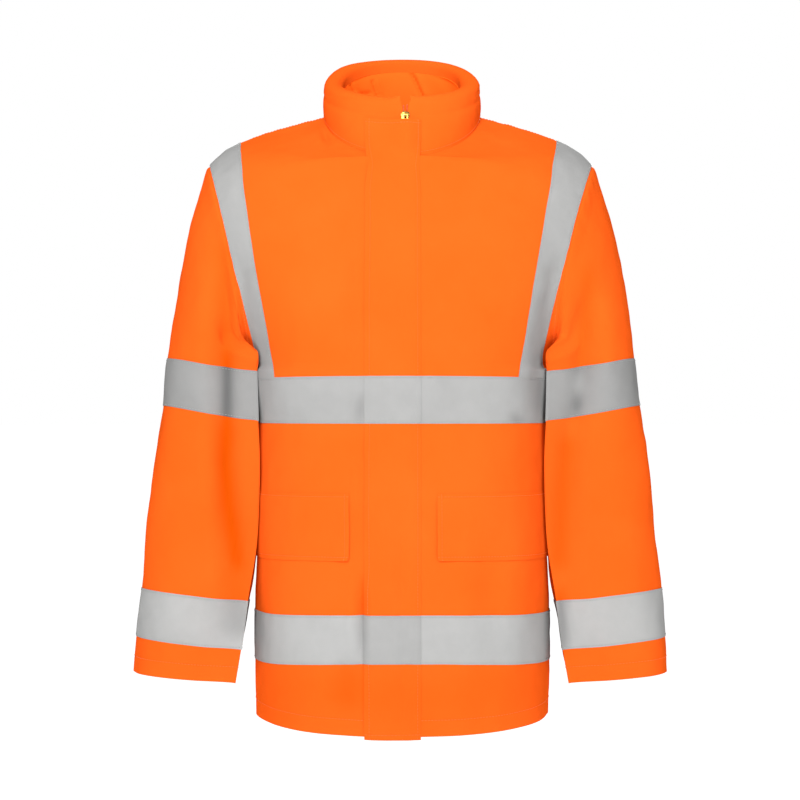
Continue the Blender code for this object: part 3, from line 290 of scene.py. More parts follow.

# Folds of the hidden side, each with a line of painted shade on the same path.
# columns: pieces, of which the first is folded, path, half width, depth, share that stands up
# beside it, half width of the darker line, share darker, how much lower that line ends
BACK_FOLDS = (
    (BACK, ((-0.0900, -0.330), (-0.0960, -0.470), (-0.0890, -0.610), (-0.0980, -0.760)),
     0.0170, 0.0055, 0.3, 0.0120, 0.45, 0.020),
    (BACK, ((0.0860, -0.380), (0.0930, -0.520), (0.0870, -0.650), (0.0800, -0.770)),
     0.0190, 0.0060, 0.3, 0.0130, 0.50, 0.020),
    (BACK, ((0.0120, -0.450), (0.0040, -0.600), (0.0100, -0.765)),
     0.0150, 0.0035, 0.3, 0.0110, 0.30, 0.020),
    (BACK, ((0.1750, -0.290), (0.1500, -0.370), (0.1380, -0.460)),
     0.0110, 0.0040, 0.3, 0.0090, 0.35, 0.0),
    (BACK, ((-0.1780, -0.280), (-0.1520, -0.350), (-0.1440, -0.450)),
     0.0120, 0.0045, 0.3, 0.0095, 0.40, 0.0),
    (SLEEVE_RIGHT, ((-0.2080, -0.180), (-0.2230, -0.260), (-0.2330, -0.340)),
     0.0120, 0.0045, 0.3, 0.0100, 0.40, 0.0),
    (SLEEVE_RIGHT, ((-0.2000, -0.425), (-0.2450, -0.450), (-0.2880, -0.446)),
     0.0100, 0.0050, 0.35, 0.0085, 0.45, 0.0),
    (SLEEVE_RIGHT, ((-0.2050, -0.515), (-0.2550, -0.497), (-0.2930, -0.500)),
     0.0095, 0.0045, 0.35, 0.0080, 0.40, 0.0),
    (SLEEVE_LEFT, ((0.2100, -0.170), (0.2280, -0.250), (0.2360, -0.350)),
     0.0120, 0.0045, 0.3, 0.0100, 0.40, 0.0),
    (SLEEVE_LEFT, ((0.2020, -0.440), (0.2540, -0.458), (0.2880, -0.446)),
     0.0105, 0.0052, 0.35, 0.0085, 0.45, 0.0),
    (SLEEVE_LEFT, ((0.2050, -0.535), (0.2500, -0.512), (0.2920, -0.508)),
     0.0090, 0.0042, 0.35, 0.0080, 0.40, 0.0),
)
FOLDS = [("front", *row) for row in FRONT_FOLDS]
SHADES = [("front", *row) for row in FRONT_SHADES]
for names, path, half_width, depth, beside, dark_half_width, dark, lower in BACK_FOLDS:
    FOLDS.append(("back", names[0], path, half_width, depth, beside))
    end_x, end_z = path[-1]
    SHADES.append(("back", names, (*path[:-1], (end_x, end_z - lower)), dark_half_width, dark))

# How a fold is shaped: its taper at both ends, where the cloth stands up beside it and how widely
# (in half widths), and how it fades where the cloth turns away from the side it is seen from
FOLD_TAPER = 0.070
RIDGE_AT = 2.1
RIDGE_HALF = 0.9
SHADE_TAPER = 0.030
FACING_BLEND = 0.35
FACING = {"front": (0.0, -1.0, 0.0), "back": (0.0, 1.0, 0.0)}
FOLD_FACING_LEAST = {"front": 0.3, "back": -0.6}
SHADE_FACING_LEAST = 0.3

# Random waves of the cloth: the shortest and longest of drape, ripples and puckers. Drape is higher
# below a height; all waves and the folds leave the seams alone up to a distance from them.
BODY_DRAPE = (0.050, 0.110, (1.0, 1.0, 0.40))
BODY_DRAPE_HEIGHT = (0.0004, 0.0009)
BODY_DRAPE_FROM = -0.38
BODY_DRAPE_OVER = 0.30
BODY_RIPPLE_HEIGHT = 0.00016
SLEEVE_DRAPE = (0.045, 0.100, (1.0, 1.0, 0.5))
SLEEVE_DRAPE_HEIGHT = (0.0005, 0.0006)
SLEEVE_DRAPE_FROM = -0.30
SLEEVE_DRAPE_OVER = 0.20
SLEEVE_RIPPLE_HEIGHT = 0.00018
SLEEVE_PUCKER_HEIGHT = 0.0005
RIPPLES = (0.020, 0.045)
PUCKERS = (0.012, 0.026)
# For the side or armhole seam, the shoulder and the neck
WAVES_CLEAR = (0.022, 0.022, 0.018)
FOLDS_CLEAR = (0.006, 0.010, 0.008)
PUCKER_HEIGHTS = (0.00035, 0.00030, 0.00035)
PUCKER_REACH = 0.012
SLEEVE_WAVES_CLEAR = 0.030
SLEEVE_FOLDS_CLEAR = 0.035
SLEEVE_PUCKER_REACH = 0.014
ZIP_CLEAR = 0.010
# The ridge of the seam allowance, under the stitching
SEAM_RIDGE = 0.0005
SEAM_RIDGE_AT = 0.0045
SEAM_RIDGE_HALF = 0.003


def unit(vector):
    vector = np.asarray(vector, dtype=float)
    return vector / np.linalg.norm(vector)


def lerp(a, b, share):
    return np.asarray(a, dtype=float) * (1 - share) + np.asarray(b, dtype=float) * share


def section(name, table):
    return [row[0] for row in table].index(name)


def ease(value):
    """0 below 0 and 1 above 1, with a smooth way between."""
    value = np.clip(value, 0.0, 1.0)
    return value * value * (3 - 2 * value)


# The form: the same curves as in the solids

def neck_line():
    """Slope at the side-neck point and its change to each side, so that the neck seam bends softly."""
    front = math.sqrt(NECK_FRONT ** 2 + NECK_BLEND ** 2) - NECK_BLEND
    back = math.sqrt(NECK_BACK ** 2 + NECK_BLEND ** 2) - NECK_BLEND
    drop = NECK_FRONT_DROP - NECK_BACK_RISE * NECK_FRONT / NECK_BACK
    change = drop / (front + back * NECK_FRONT / NECK_BACK)
    return (NECK_BACK_RISE + change * back) / NECK_BACK, change


NECK_SLOPE, NECK_CHANGE = neck_line()


def neck_point(side, angle):
    """A point of the neck seam at an angle from the centre front, with its normal and way up."""
    turn = math.radians(angle)
    depth = NECK_FRONT if angle <= 90 else NECK_BACK
    x = NECK_HALF_WIDTH * math.sin(turn)
    y = -depth * math.cos(turn)
    reach = math.sqrt(y * y + NECK_BLEND ** 2)
    z = NECK_SLOPE * y - NECK_CHANGE * (reach - NECK_BLEND)
    flat = unit((x / NECK_HALF_WIDTH ** 2, y / depth ** 2, 0.0))
    least, more = NECK_NORMAL_FRONT if angle <= 90 else NECK_NORMAL_BACK
    up_share = least + more * math.sin(turn) ** 2
    normal = flat * math.sqrt(1 - up_share ** 2) + np.array((0.0, 0.0, up_share))
    point = np.array((side * x, y, z))
    normal = np.array((side * normal[0], normal[1], normal[2]))
    slope = NECK_SLOPE - NECK_CHANGE * y / reach
    along_y = math.sin(turn) * depth
    tangent = unit((side * math.cos(turn) * NECK_HALF_WIDTH, along_y, along_y * slope))
    normal = unit(normal - tangent * np.dot(normal, tangent))
    up = np.cross(tangent, normal)
    if up[2] < 0:
        up = -up
    return point, normal, up


def sleeve_row(side, index):
    """Outer and inner point of a sleeve section, and the rest of its row."""
    row = SLEEVE[index]
    outer_x = row[1] if side < 0 else row[2]
    bend_in = row[8]
    if side > 0:
        bend_in *= BEND_IN_LEFT / SLEEVE[0][8]
    outer = np.array((side * outer_x, row[7], row[3]))
    inner = np.array((side * row[4], row[7], row[5]))
    return outer, inner, row[6], bend_in, row[9], row[10]


def sleeve_point(side, index, angle, back):
    """A point of a sleeve section; angle 0 is outermost, 90 the front or the back."""
    outer, inner, half_depth, bend_in, power, lean = sleeve_row(side, index)
    cosine = math.cos(math.radians(angle))
    sine = max(0.0, math.sin(math.radians(angle)))
    share = math.copysign(abs(cosine) ** (2 / power), cosine)
    reach = sine ** (2 / power)
    point = (outer + inner) / 2 + (outer - inner) / 2 * share
    depth = half_depth * reach * (1 if back else -1)
    return point + np.array((-side * bend_in * sine ** 2, depth, -depth * lean))


def armhole_frame(side, angle, back):
    """Point, normal and way out to the sleeve on the armhole seam."""
    outer, inner, half_depth = sleeve_row(side, 0)[:3]
    chord = outer - inner
    up = unit(chord)
    half_height = np.linalg.norm(chord) / 2
    turn = math.radians(angle)
    fore = np.array((0.0, 1.0 if back else -1.0, 0.0))
    normal = unit(up * math.cos(turn) / half_height + fore * math.sin(turn) / half_depth)
    out = unit((side * up[2], 0.0, -side * up[0]))
    return sleeve_point(side, 0, angle, back), normal, out


def body_rails(side, back):
    """For each row: start, start direction, end, end direction, seam point, normal and way out."""
    fore = 1.0 if back else -1.0
    rails = []
    for _, z_front, z_side, half_width, front, rear in TORSO:
        start = (0.0, rear if back else -front, z_side if back else z_front)
        seam = np.array((side * half_width, 0.0, z_side))
        end = seam + np.array((0.0, fore * SIDE_SEAM_IN, 0.0))
        rails.append((start, (side, 0, 0), end, (0, -fore, 0), seam, (side, 0, 0), (0, -fore, 0)))
    armpit = armhole_frame(side, 180, back)[0]
    band_top = rails[-1][4]
    under_x = band_top[0] + (armpit[0] - band_top[0]) * UNDER_ARM_SHARE_OUT
    under = np.array((under_x, 0.0, armpit[2] - UNDER_ARM_DROP))
    start = (0.0, UNDER_ARM_Y_BACK if back else UNDER_ARM_Y_FRONT, UNDER_ARM_Z)
    end = np.array((band_top[0], fore * FOLD_FORWARD, under[2] - UNDER_ARM_FOLD))
    under_normal = np.array(UNDER_ARM_NORMAL) * (side, 1, 1)
    rails.append((start, (side, 0, 0), end, (0, -fore, 0), under, under_normal, (0, -fore, 0)))
    neck_angles = neck_angles_of(back)
    count = len(ARMHOLE_ANGLES)
    for number, angle in enumerate(ARMHOLE_ANGLES):
        seam, normal, out = armhole_frame(side, angle, back)
        low = max(0.0, -math.cos(math.radians(angle))) ** 2
        end = seam - out * (FOLD_IN + FOLD_IN_LOW * low) + normal * FOLD_DOWN * low
        if angle == 180:
            end = end + np.array((0.0, fore * FOLD_FORWARD, 0.0))
        if angle >= 90:
            way = unit(lerp(EDGE_WAY_MID, (0.0, 1.0, 0.0), (angle - 90) / 90))
        else:
            way = unit(lerp(EDGE_WAY_TIP, EDGE_WAY_MID, angle / 90))
        way = np.array((side * way[0], -fore * way[1], way[2]))
        neck_number = number - (count - len(neck_angles))
        if neck_number < 0:
            z_front, y_front, z_back, y_back = CENTRE_LINES[number]
            start = np.array((0.0, y_back if back else y_front, z_back if back else z_front))
            start_way = (side, 0, 0)
        else:
            start = neck_point(side, neck_angles[neck_number])[0]
            slope = -SHOULDER_SLOPE_NECK * math.sin(math.radians(neck_angles[neck_number]))
            start_way = unit((side, 0, slope))
        rails.append((start, start_way, end, way, seam, normal, out))
    return [[np.asarray(part, dtype=float) for part in rail] for rail in rails]


def row_curve(rail, high_share):
    """The smooth line of one row, from its start to its end."""
    start, start_way, end, end_way = rail[:4]
    chord = np.linalg.norm(end - start)
    pull_start = 3 * chord * lerp(*PULL_CENTRE, high_share)
    pull_end = 3 * chord * lerp(*PULL_EDGE, high_share)
    t = np.linspace(0, 1, CURVE_SAMPLES)[:, None]
    return (
        (2 * t ** 3 - 3 * t ** 2 + 1) * start
        + (t ** 3 - 2 * t ** 2 + t) * start_way * pull_start
        + (3 * t ** 2 - 2 * t ** 3) * end
        + (t ** 3 - t ** 2) * end_way * pull_end
    )


# Fine grids

def step_counts(widths, cell=CELL, least=1):
    return [max(least, round(width / cell)) for width in widths]


def spread(counts):
    """Positions that split each whole interval into its count of steps."""
    places = [k + step / count for k, count in enumerate(counts) for step in range(count)]
    return np.array([*places, float(len(counts))])


def refine(rows, counts, corners=()):
    """Finer rows through the given ones. A corner is a row and, for each column, how sharp it is."""
    gaps = np.linalg.norm(np.diff(rows, axis=0), axis=2).mean(axis=1)
    slopes = np.diff(rows, axis=0) / gaps[:, None, None]
    before = np.empty_like(rows)
    before[0] = slopes[0]
    before[-1] = slopes[-1]
    share = (gaps[:-1] / (gaps[:-1] + gaps[1:]))[:, None, None]
    before[1:-1] = slopes[:-1] * (1 - share) + slopes[1:] * share
    after = before.copy()
    for row, sharp in corners:
        sharp = np.asarray(sharp)[:, None]
        before[row] = before[row] * (1 - sharp) + slopes[row - 1] * sharp
        after[row] = after[row] * (1 - sharp) + slopes[row] * sharp
    fine = []
    for k, count in enumerate(counts):
        t = (np.arange(count) / count)[:, None, None]
        fine.append(
            (2 * t ** 3 - 3 * t ** 2 + 1) * rows[k]
            + (t ** 3 - 2 * t ** 2 + t) * after[k] * gaps[k]
            + (3 * t ** 2 - 2 * t ** 3) * rows[k + 1]
            + (t ** 3 - t ** 2) * before[k + 1] * gaps[k]
        )
    return np.concatenate([*fine, rows[-1:]])


def grid_normals(points, outward, closed=False):
    """Normals of a grid, on the side that outward points to on average."""
    if closed:
        across = np.roll(points, -1, axis=1) - np.roll(points, 1, axis=1)
    else:
        across = np.gradient(points, axis=1)
    along = np.gradient(points, axis=0)
    normals = np.cross(across, along)
    normals /= np.linalg.norm(normals, axis=2, keepdims=True) + 1e-12
    if np.sum(normals * outward) < 0:
        normals = -normals
    return normals


class Panel:
    """A fine grid with its normals, and where the coarse rows and columns lie in it."""

    def __init__(self, points, outward, row_marks, col_marks, closed=False):
        self.points = points
        self.outward = outward
        self.row_marks = row_marks
        self.col_marks = col_marks
        self.closed = closed
        self.normals = grid_normals(points, outward, closed)

    def press(self, depth):
        """Move the surface in by a depth at each point."""
        self.points = self.points - self.normals * depth[..., None]
        self.normals = grid_normals(self.points, self.outward, self.closed)

    def pick(self, rows, cols):
        """Points and normals at fractional places of the fine grid."""
        rows = np.clip(rows, 0, self.points.shape[0] - 1.000001)
        limit = self.points.shape[1] if self.closed else self.points.shape[1] - 1
        low_row = np.floor(rows).astype(int)
        low_col = np.floor(cols).astype(int)
        if not self.closed:
            low_col = np.clip(low_col, 0, limit - 1)
        f = (rows - low_row)[..., None]
        g = (cols - low_col)[..., None]
        width = self.points.shape[1]
        result = []
        for values in (self.points, self.normals):
            a = values[low_row, low_col % width]
            b = values[low_row, (low_col + 1) % width]
            c = values[low_row + 1, low_col % width]
            d = values[low_row + 1, (low_col + 1) % width]
            result.append((a * (1 - g) + b * g) * (1 - f) + (c * (1 - g) + d * g) * f)
        result[1] /= np.linalg.norm(result[1], axis=-1, keepdims=True)
        return result

    def place(self, marks, value):
        """Fine place of a fractional coarse row or column."""
        return np.interp(value, np.arange(len(marks)), marks)


def marks_of(counts):
    return np.concatenate([[0], np.cumsum(counts)])


def seen_from(view, points):
    """The x and z at which each point is seen from the front or the back."""
    if view == "back":
        return points[..., (0, 2)]
    x, y, z = points[..., 0], points[..., 1], points[..., 2]
    scale = -CAMERA[1] / (y - CAMERA[1])
    return np.stack([CAMERA[0] + (x - CAMERA[0]) * scale, CAMERA[2] + (z - CAMERA[2]) * scale], axis=-1)


def facing_share(view, ways, least):
    """How far normals turn to the front or the back: 1 where they do, and 0 where they turn away."""
    return ease(ways @ np.array(FACING[view]) / FACING_BLEND + least)


def along_fade(along, span, taper):
    """1 along a path, and down to 0 at both of its ends."""
    taper = min(taper, span / 2)
    return ease(along / taper) * ease((span - along) / taper)


def path_distance(flat, path):
    """Distance of flat points from a path, how far along it they lie, and its length."""
    lengths = np.linalg.norm(np.diff(path, axis=0), axis=1)
    start = np.concatenate([[0.0], np.cumsum(lengths)])
    nearest = np.full(flat.shape[:-1], 1e9)
    along = np.zeros(flat.shape[:-1])
    for k, length in enumerate(lengths):
        way = (path[k + 1] - path[k]) / length
        t = np.clip((flat - path[k]) @ way, 0.0, length)
        off = np.linalg.norm(flat - path[k] - t[..., None] * way, axis=-1)
        closer = off < nearest
        nearest = np.where(closer, off, nearest)
        along = np.where(closer, start[k] + t, along)
    return nearest, along, start[-1]


def fold_press(name, panel):
    """How deep the folds press at each point of a panel."""
    total = np.zeros(panel.points.shape[:2])
    for view, piece, path, half_width, depth, beside in FOLDS:
        if piece != name:
            continue
        facing = facing_share(view, panel.normals, FOLD_FACING_LEAST[view])
        nearest, along, span = path_distance(seen_from(view, panel.points), np.array(path))
        fade = along_fade(along, span, FOLD_TAPER)
        share = nearest / half_width
        trough = np.exp(-share ** 2)
        ridge = np.exp(-((share - RIDGE_AT) / RIDGE_HALF) ** 2)
        total += depth * fade * facing * (trough - beside * ridge)
    return total


def waves(points, seed, shortest, longest, stretch=(1.0, 1.0, 1.0), count=22):
    """Soft random undulation of about unit height."""
    draw = np.random.default_rng(seed)
    scaled = points * np.array(stretch)
    total = np.zeros(points.shape[:-1])
    for _ in range(count):
        way = unit(draw.normal(size=3))
        length = draw.uniform(shortest, longest)
        total += np.sin(scaled @ way * (2 * math.pi / length) + draw.uniform(0, 2 * math.pi))
    return total / math.sqrt(count / 2)


def run_lengths(points, axis):
    """Distance along each line of the grid from its first point."""
    gaps = np.linalg.norm(np.diff(points, axis=axis), axis=2)
    total = np.cumsum(gaps, axis=axis)
    return np.concatenate([np.zeros_like(np.take(total, [0], axis=axis)), total], axis=axis)


# Body

# Coarse columns of a body panel: the inner and outer edge of the brace tape, the edge, and steps of
# the columns from the last one of the table outwards
TAPE_IN, TAPE_OUT, EDGE_COLUMN = 6, 8, 9
OUTER_STEPS = [13, 7, 7, 9, 2]


def neck_angles_of(back):
    return [180.0, *reversed(NECK_ANGLES_BACK), 90.0] if back else [*NECK_ANGLES_FRONT, 90.0]


def build_body(side, back):
    """One front or half of the back, from the hem up and from the middle out to its seams."""
    rails = body_rails(side, back)
    columns = BACK_COLUMNS if back else FRONT_COLUMNS[side]
    counts = step_counts([b - a for a, b in zip(columns, columns[1:])]) + OUTER_STEPS
    places = spread(counts)
    first_upper = len(TORSO) + 1
    edge_z, edge_x = zip(*BRACE_EDGE[side])
    rows = []
    reference = None
    for number, rail in enumerate(rails):
        high = max(0.0, (number - first_upper) / (len(rails) - 1 - first_upper))
        curve = row_curve(rail, high)
        along = side * curve[:, 0]
        tape_z = lerp(rail[0][2], rail[2][2], BRACE_EDGE_SHARE)
        tape_x = float(np.interp(tape_z, edge_z, edge_x))
        start_x = side * rail[0][0]
        if start_x <= 1e-6:
            reference = tape_x
            targets = [*columns, tape_x]
        else:
            shares = [(c - columns[0]) / (reference - columns[0]) for c in columns]
            targets = [start_x + (tape_x - start_x) * share for share in shares] + [tape_x]
        t_line = np.linspace(0, 1, len(curve))
        tape_t = float(np.interp(tape_x, along, t_line))
        armhole_number = number - first_upper
        tape_share = TAPE_SHARE_LOW if armhole_number < 0 else TAPE_SHARES[armhole_number]
        inner_places = places[places <= TAPE_IN]
        inner_x = np.interp(inner_places, np.arange(TAPE_IN + 1), targets)
        t_inner = np.interp(inner_x, along, t_line)
        outer_places = places[(places > TAPE_IN) & (places <= EDGE_COLUMN)]
        outer_shares = (0, tape_share / 2, tape_share, 1)
        t_outer = tape_t + (1 - tape_t) * np.interp(outer_places, (6, 7, 8, 9), outer_shares)
        t_all = np.concatenate([t_inner, t_outer])
        row = np.stack([np.interp(t_all, t_line, curve[:, k]) for k in range(3)], axis=1)
        row[:len(inner_places), 0] = side * inner_x
        last = places[places > EDGE_COLUMN] - EDGE_COLUMN
        rows.append(np.concatenate([row, lerp(rail[2], rail[4], last[:, None])]))
    rows = np.array(rows)
    neck_angles = neck_angles_of(back)
    neck_row = len(rails) - len(neck_angles) - (0 if back else 1)
    if not back:
        first_angle = math.degrees(math.asin(columns[0] / NECK_HALF_WIDTH))
        rows[neck_row, 0] = neck_point(side, first_angle)[0]
        neck_angles = [first_angle, *neck_angles]
    gaps = np.linalg.norm(np.diff(rows, axis=0), axis=2).max(axis=1)
    row_counts = step_counts(gaps)
    sharp_edge = ease(places - TAPE_OUT)
    sharp_neck = 1 - ease(places / 1.5)
    fine = refine(rows, row_counts, ((first_upper, sharp_edge), (neck_row, sharp_neck)))
    row_marks = marks_of(row_counts)
    # the seams lie on their own curves
    row_places = spread(row_counts)
    armhole = row_marks[first_upper]
    for k in range(armhole, len(fine)):
        angle = float(np.interp(row_places[k], np.arange(first_upper, len(rails)), ARMHOLE_ANGLES))
        seam, _, out = armhole_frame(side, angle, back)
        fine[k, -1] = seam - out * SEAM_HALF
    first_neck = row_marks[neck_row]
    for k in range(first_neck, len(fine)):
        angle = float(np.interp(row_places[k], np.arange(neck_row, len(rails)), neck_angles))
        point, _, up = neck_point(side, angle)
        fine[k, 0] = point - up * SEAM_HALF
    outward = np.array((0.0, 1.0 if back else -1.0, 0.0))
    panel = Panel(fine, outward, row_marks, marks_of(counts))
    panel.armhole = armhole
    panel.neck = first_neck
    panel.back = back
    return panel


def edge_distance(panel):
    """Distance of each point from the side or armhole seam, the shoulder, and the neck."""
    across = run_lengths(panel.points, 1)
    to_seam = across[:, -1:] - across
    along = run_lengths(panel.points, 0)
    to_shoulder = along[-1:] - along
    to_neck = np.full(to_seam.shape, 1.0)
    for point in panel.points[panel.neck::3, 0]:
        to_neck = np.minimum(to_neck, np.linalg.norm(panel.points - point, axis=2))
    return to_seam, to_shoulder, to_neck


def dress_body(panel, name, seed):
    """Press folds, soft drape and puckers along the seams into a body panel."""
    distances = edge_distance(panel)
    least, more = BODY_DRAPE_HEIGHT
    low = ease((BODY_DRAPE_FROM - panel.points[..., 2]) / BODY_DRAPE_OVER)
    pin = 1.0
    depth = fold_press(name, panel)
    for distance, waves_clear, folds_clear in zip(distances, WAVES_CLEAR, FOLDS_CLEAR):
        pin = pin * ease(distance / waves_clear)
        depth *= ease(distance / folds_clear)
    depth += waves(panel.points, seed, *BODY_DRAPE) * (least + more * low) * pin
    depth += waves(panel.points, seed + 1, *RIPPLES) * BODY_RIPPLE_HEIGHT * pin
    pucker = waves(panel.points, seed + 2, *PUCKERS)
    for distance, height in zip(distances, PUCKER_HEIGHTS):
        depth += pucker * height * np.exp(-distance / PUCKER_REACH) * ease(distance / 0.003)
        depth -= SEAM_RIDGE * np.exp(-((distance - SEAM_RIDGE_AT) / SEAM_RIDGE_HALF) ** 2)
    if not panel.back:
        depth *= ease(run_lengths(panel.points, 1) / ZIP_CLEAR)
    panel.press(depth)


# Sleeves

def half_width_tables():
    """Depth and half width of the body at each height of the torso, for its front and back."""
    tables = {}
    for back in (False, True):
        sections = []
        for rail in body_rails(1, back)[:len(TORSO)]:
            curve = row_curve(rail, 0.0)
            sections.append((np.abs(curve[::-1, 1]), curve[::-1, 0]))
        tables[back] = sections
    return tables


HALF_WIDTHS = half_width_tables()
ARMPIT_X, ARMPIT_Z = SLEEVE[0][4:6]
HEIGHTS = [*(row[2] for row in TORSO), ARMPIT_Z]


def body_half_width(z, y):
    """Half width of the body at a height and depth."""
    widths = [np.interp(abs(y), depth, x) for depth, x in HALF_WIDTHS[y > 0]]
    widths.append(widths[-1] + ARMPIT_X - TORSO[-1][3])
    return float(np.interp(z, HEIGHTS, widths))


def within(value, low, high, blend=0.010):
    """1 between two limits and 0 well outside them."""
    return ease((value - low) / blend + 0.5) * ease((high - value) / blend + 0.5)


def sleeve_clearance(z, y):
    """How far a sleeve stays off the body: more over the chest band and the pocket flap."""
    taped = within(z, *CHEST_BAND_REACH)
    pocket = within(z, *POCKET_REACH) * (1 - ease((y - CLEAR_POCKET_Y) / 0.02))
    return CLEAR_PLAIN + (CLEAR_TAPED - CLEAR_PLAIN) * taped + (CLEAR_POCKET - CLEAR_PLAIN) * pocket


def sleeve_columns():
    """Angle of each fine column round a sleeve, and whether it lies on the back."""
    front = [(angle, False) for angle in reversed(ARMHOLE_ANGLES)]
    rear = [(angle, True) for angle in ARMHOLE_ANGLES[1:-1]]
    coarse = front + rear
    fine = []
    for k, (angle, back) in enumerate(coarse):
        following, next_back = coarse[(k + 1) % len(coarse)]
        for step in range(SLEEVE_STEPS):
            between = angle + (following - angle) * step / SLEEVE_STEPS
            fine.append((between, back or next_back and angle == 180))
    return fine


def quarter_lengths(power, half_width, half_depth, angles):
    """Share of the length of a quarter of a section, up to each angle from the front."""
    turn = np.radians(angles)
    x = half_width * np.clip(-np.cos(turn), 0.0, 1.0) ** (2 / power)
    y = half_depth * np.clip(np.sin(turn), 0.0, 1.0) ** (2 / power)
    total = np.concatenate([[0.0], np.cumsum(np.hypot(np.diff(x), np.diff(y)))])
    return total / total[-1]


QUARTER_ANGLES = 135 - 45 * np.cos(np.linspace(0, math.pi, QUARTER_SAMPLES))


def squared(side, index, angle, back):
    """A sleeve section that is squarer on its inner front, where it lies against the body."""
    point = sleeve_point(side, index, angle, back)
    share = float(np.interp(index, *zip(*SQUARE_ROWS)))
    if back or angle <= 90 or share == 0.0:
        return point
    outer, inner, half_depth, _, power, lean = sleeve_row(side, index)
    more = power + (SQUARE_POWER - power) * share
    half_width = np.linalg.norm(outer - inner) / 2
    plain = quarter_lengths(power, half_width, half_depth, QUARTER_ANGLES)
    square = quarter_lengths(more, half_width, half_depth, QUARTER_ANGLES)
    place = np.interp(angle, QUARTER_ANGLES, plain)
    turned = math.radians(float(np.interp(place, square, QUARTER_ANGLES)))
    cosine = max(0.0, -math.cos(turned))
    sine = max(0.0, math.sin(turned))
    depth = half_depth * sine ** (2 / more)
    middle = (outer + inner) / 2 - (outer - inner) / 2 * cosine ** (2 / more)
    return middle + np.array((0.0, -depth, depth * lean))


def build_sleeve(side):
    """One sleeve, from the armhole down to the cuff."""
    columns = sleeve_columns()
    frames = [armhole_frame(side, angle, back) for angle, back in columns]
    first = []
    second = []
    for (angle, _), (seam, normal, out) in zip(columns, frames):
        low = max(0.0, -math.cos(math.radians(angle))) ** 2
        first.append(seam + out * SEAM_HALF)
        second.append(seam + out * (FOLD_IN + FOLD_IN_LOW * low) + normal * FOLD_DOWN * low)
    rows = [first, second]
    for index in range(1, len(SLEEVE)):
        ring = []
        for angle, back in columns:
            point = squared(side, index, angle, back)
            if angle > 90 and not back:
                outer, inner, half_depth = sleeve_row(side, index)[:3]
                low = ease((LIP_TOP - point[2]) / LIP_BLEND + 0.5)
                lip = math.exp(-((angle - LIP_ANGLE) / LIP_HALF) ** 2)
                forward = LIP_FORWARD * ease((point[2] - LIP_FORWARD_FROM) / LIP_FORWARD_OVER)
                point[1] = point[1] + (outer[1] - half_depth - forward - point[1]) * lip * low
                if angle > LIP_ANGLE:
                    lip = ease((180 - angle) / (180 - LIP_BACK_TO))
                beside = body_half_width(point[2], point[1]) + sleeve_clearance(point[2], point[1])
                closer = LIP_ARMPIT_IN * ease((point[2] - LIP_ARMPIT_FROM) / LIP_ARMPIT_OVER)
                wall = max(beside, abs(inner[0]) * (1 - point[1] / CAMERA[1]) - closer)
                point[0] = point[0] + (side * wall - point[0]) * lip * low
            if angle > 90:
                least = body_half_width(point[2], point[1]) + sleeve_clearance(point[2], point[1])
                hug = ease((angle - HUG_ANGLE) / HUG_TURN) * within(point[2], *HUG_REACH, HUG_BLEND)
                spare = (side * point[0] - least) * (1 - hug)
                point[0] = side * (least + 0.5 * (spare + math.sqrt(spare ** 2 + CLEAR_ROUNDING ** 2)))
            ring.append(point)
        rows.append(ring)
    rows = np.array(rows)
    gaps = np.linalg.norm(np.diff(rows, axis=0), axis=2).max(axis=1)
    counts = step_counts(gaps)
    fine = refine(rows, counts)
    middle = fine.mean(axis=1, keepdims=True)
    col_marks = np.arange(0, len(columns) + 1, SLEEVE_STEPS)
    return Panel(fine, fine - middle, marks_of(counts), col_marks, closed=True)


def dress_sleeve(panel, name, seed):
    """Press folds, soft drape and puckers at the armhole into a sleeve."""
    along = run_lengths(panel.points, 0)
    pin = ease(along / SLEEVE_WAVES_CLEAR)
    least, more = SLEEVE_DRAPE_HEIGHT
    lower = ease((SLEEVE_DRAPE_FROM - panel.points[..., 2]) / SLEEVE_DRAPE_OVER)
    depth = fold_press(name, panel) * ease(along / SLEEVE_FOLDS_CLEAR)
    depth += waves(panel.points, seed, *SLEEVE_DRAPE) * (least + more * lower) * pin
    depth += waves(panel.points, seed + 1, *RIPPLES) * SLEEVE_RIPPLE_HEIGHT * pin
    pucker = waves(panel.points, seed + 2, *PUCKERS) * SLEEVE_PUCKER_HEIGHT
    depth += pucker * np.exp(-along / SLEEVE_PUCKER_REACH) * ease(along / 0.004)
    # the inner edge of the front keeps its shape
    off = np.array([360.0 if back else angle - LIP_ANGLE for angle, back in sleeve_columns()])
    low = ease((LIP_TOP - panel.points[..., 2]) / LIP_BLEND + 0.5)
    depth *= 1 - np.exp(-(off / LIP_GUARD) ** 2) * low
    panel.press(depth)


# Meshes

def make_mesh(name, points, faces, material_numbers, materials, uvs=None, sharp=math.radians(50)):
    mesh = bpy.data.meshes.new(name)
    mesh.from_pydata([tuple(p) for p in points], [], [tuple(f) for f in faces])
    for material in materials:
        mesh.materials.append(material)
    mesh.polygons.foreach_set("material_index", np.asarray(material_numbers, dtype=np.int32))
    mesh.polygons.foreach_set("use_smooth", np.ones(len(faces), dtype=bool))
    if uvs is not None:
        layer = mesh.uv_layers.new(name="cloth")
        vertex = np.empty(len(mesh.loops), dtype=np.int32)
        mesh.loops.foreach_get("vertex_index", vertex)
        layer.data.foreach_set("uv", np.asarray(uvs, dtype=np.float32)[vertex].ravel())
    mesh.update()
    mesh.set_sharp_from_angle(angle=sharp)
    obj = bpy.data.objects.new(name, mesh)
    bpy.context.scene.collection.objects.link(obj)
    return obj


def grid_uv(points, closed=False):
    across = run_lengths(points, 1)
    if not closed:
        across = across - across[:, -1:] * 0.5
    along = run_lengths(points, 0)
    return np.stack([across, along], axis=-1)


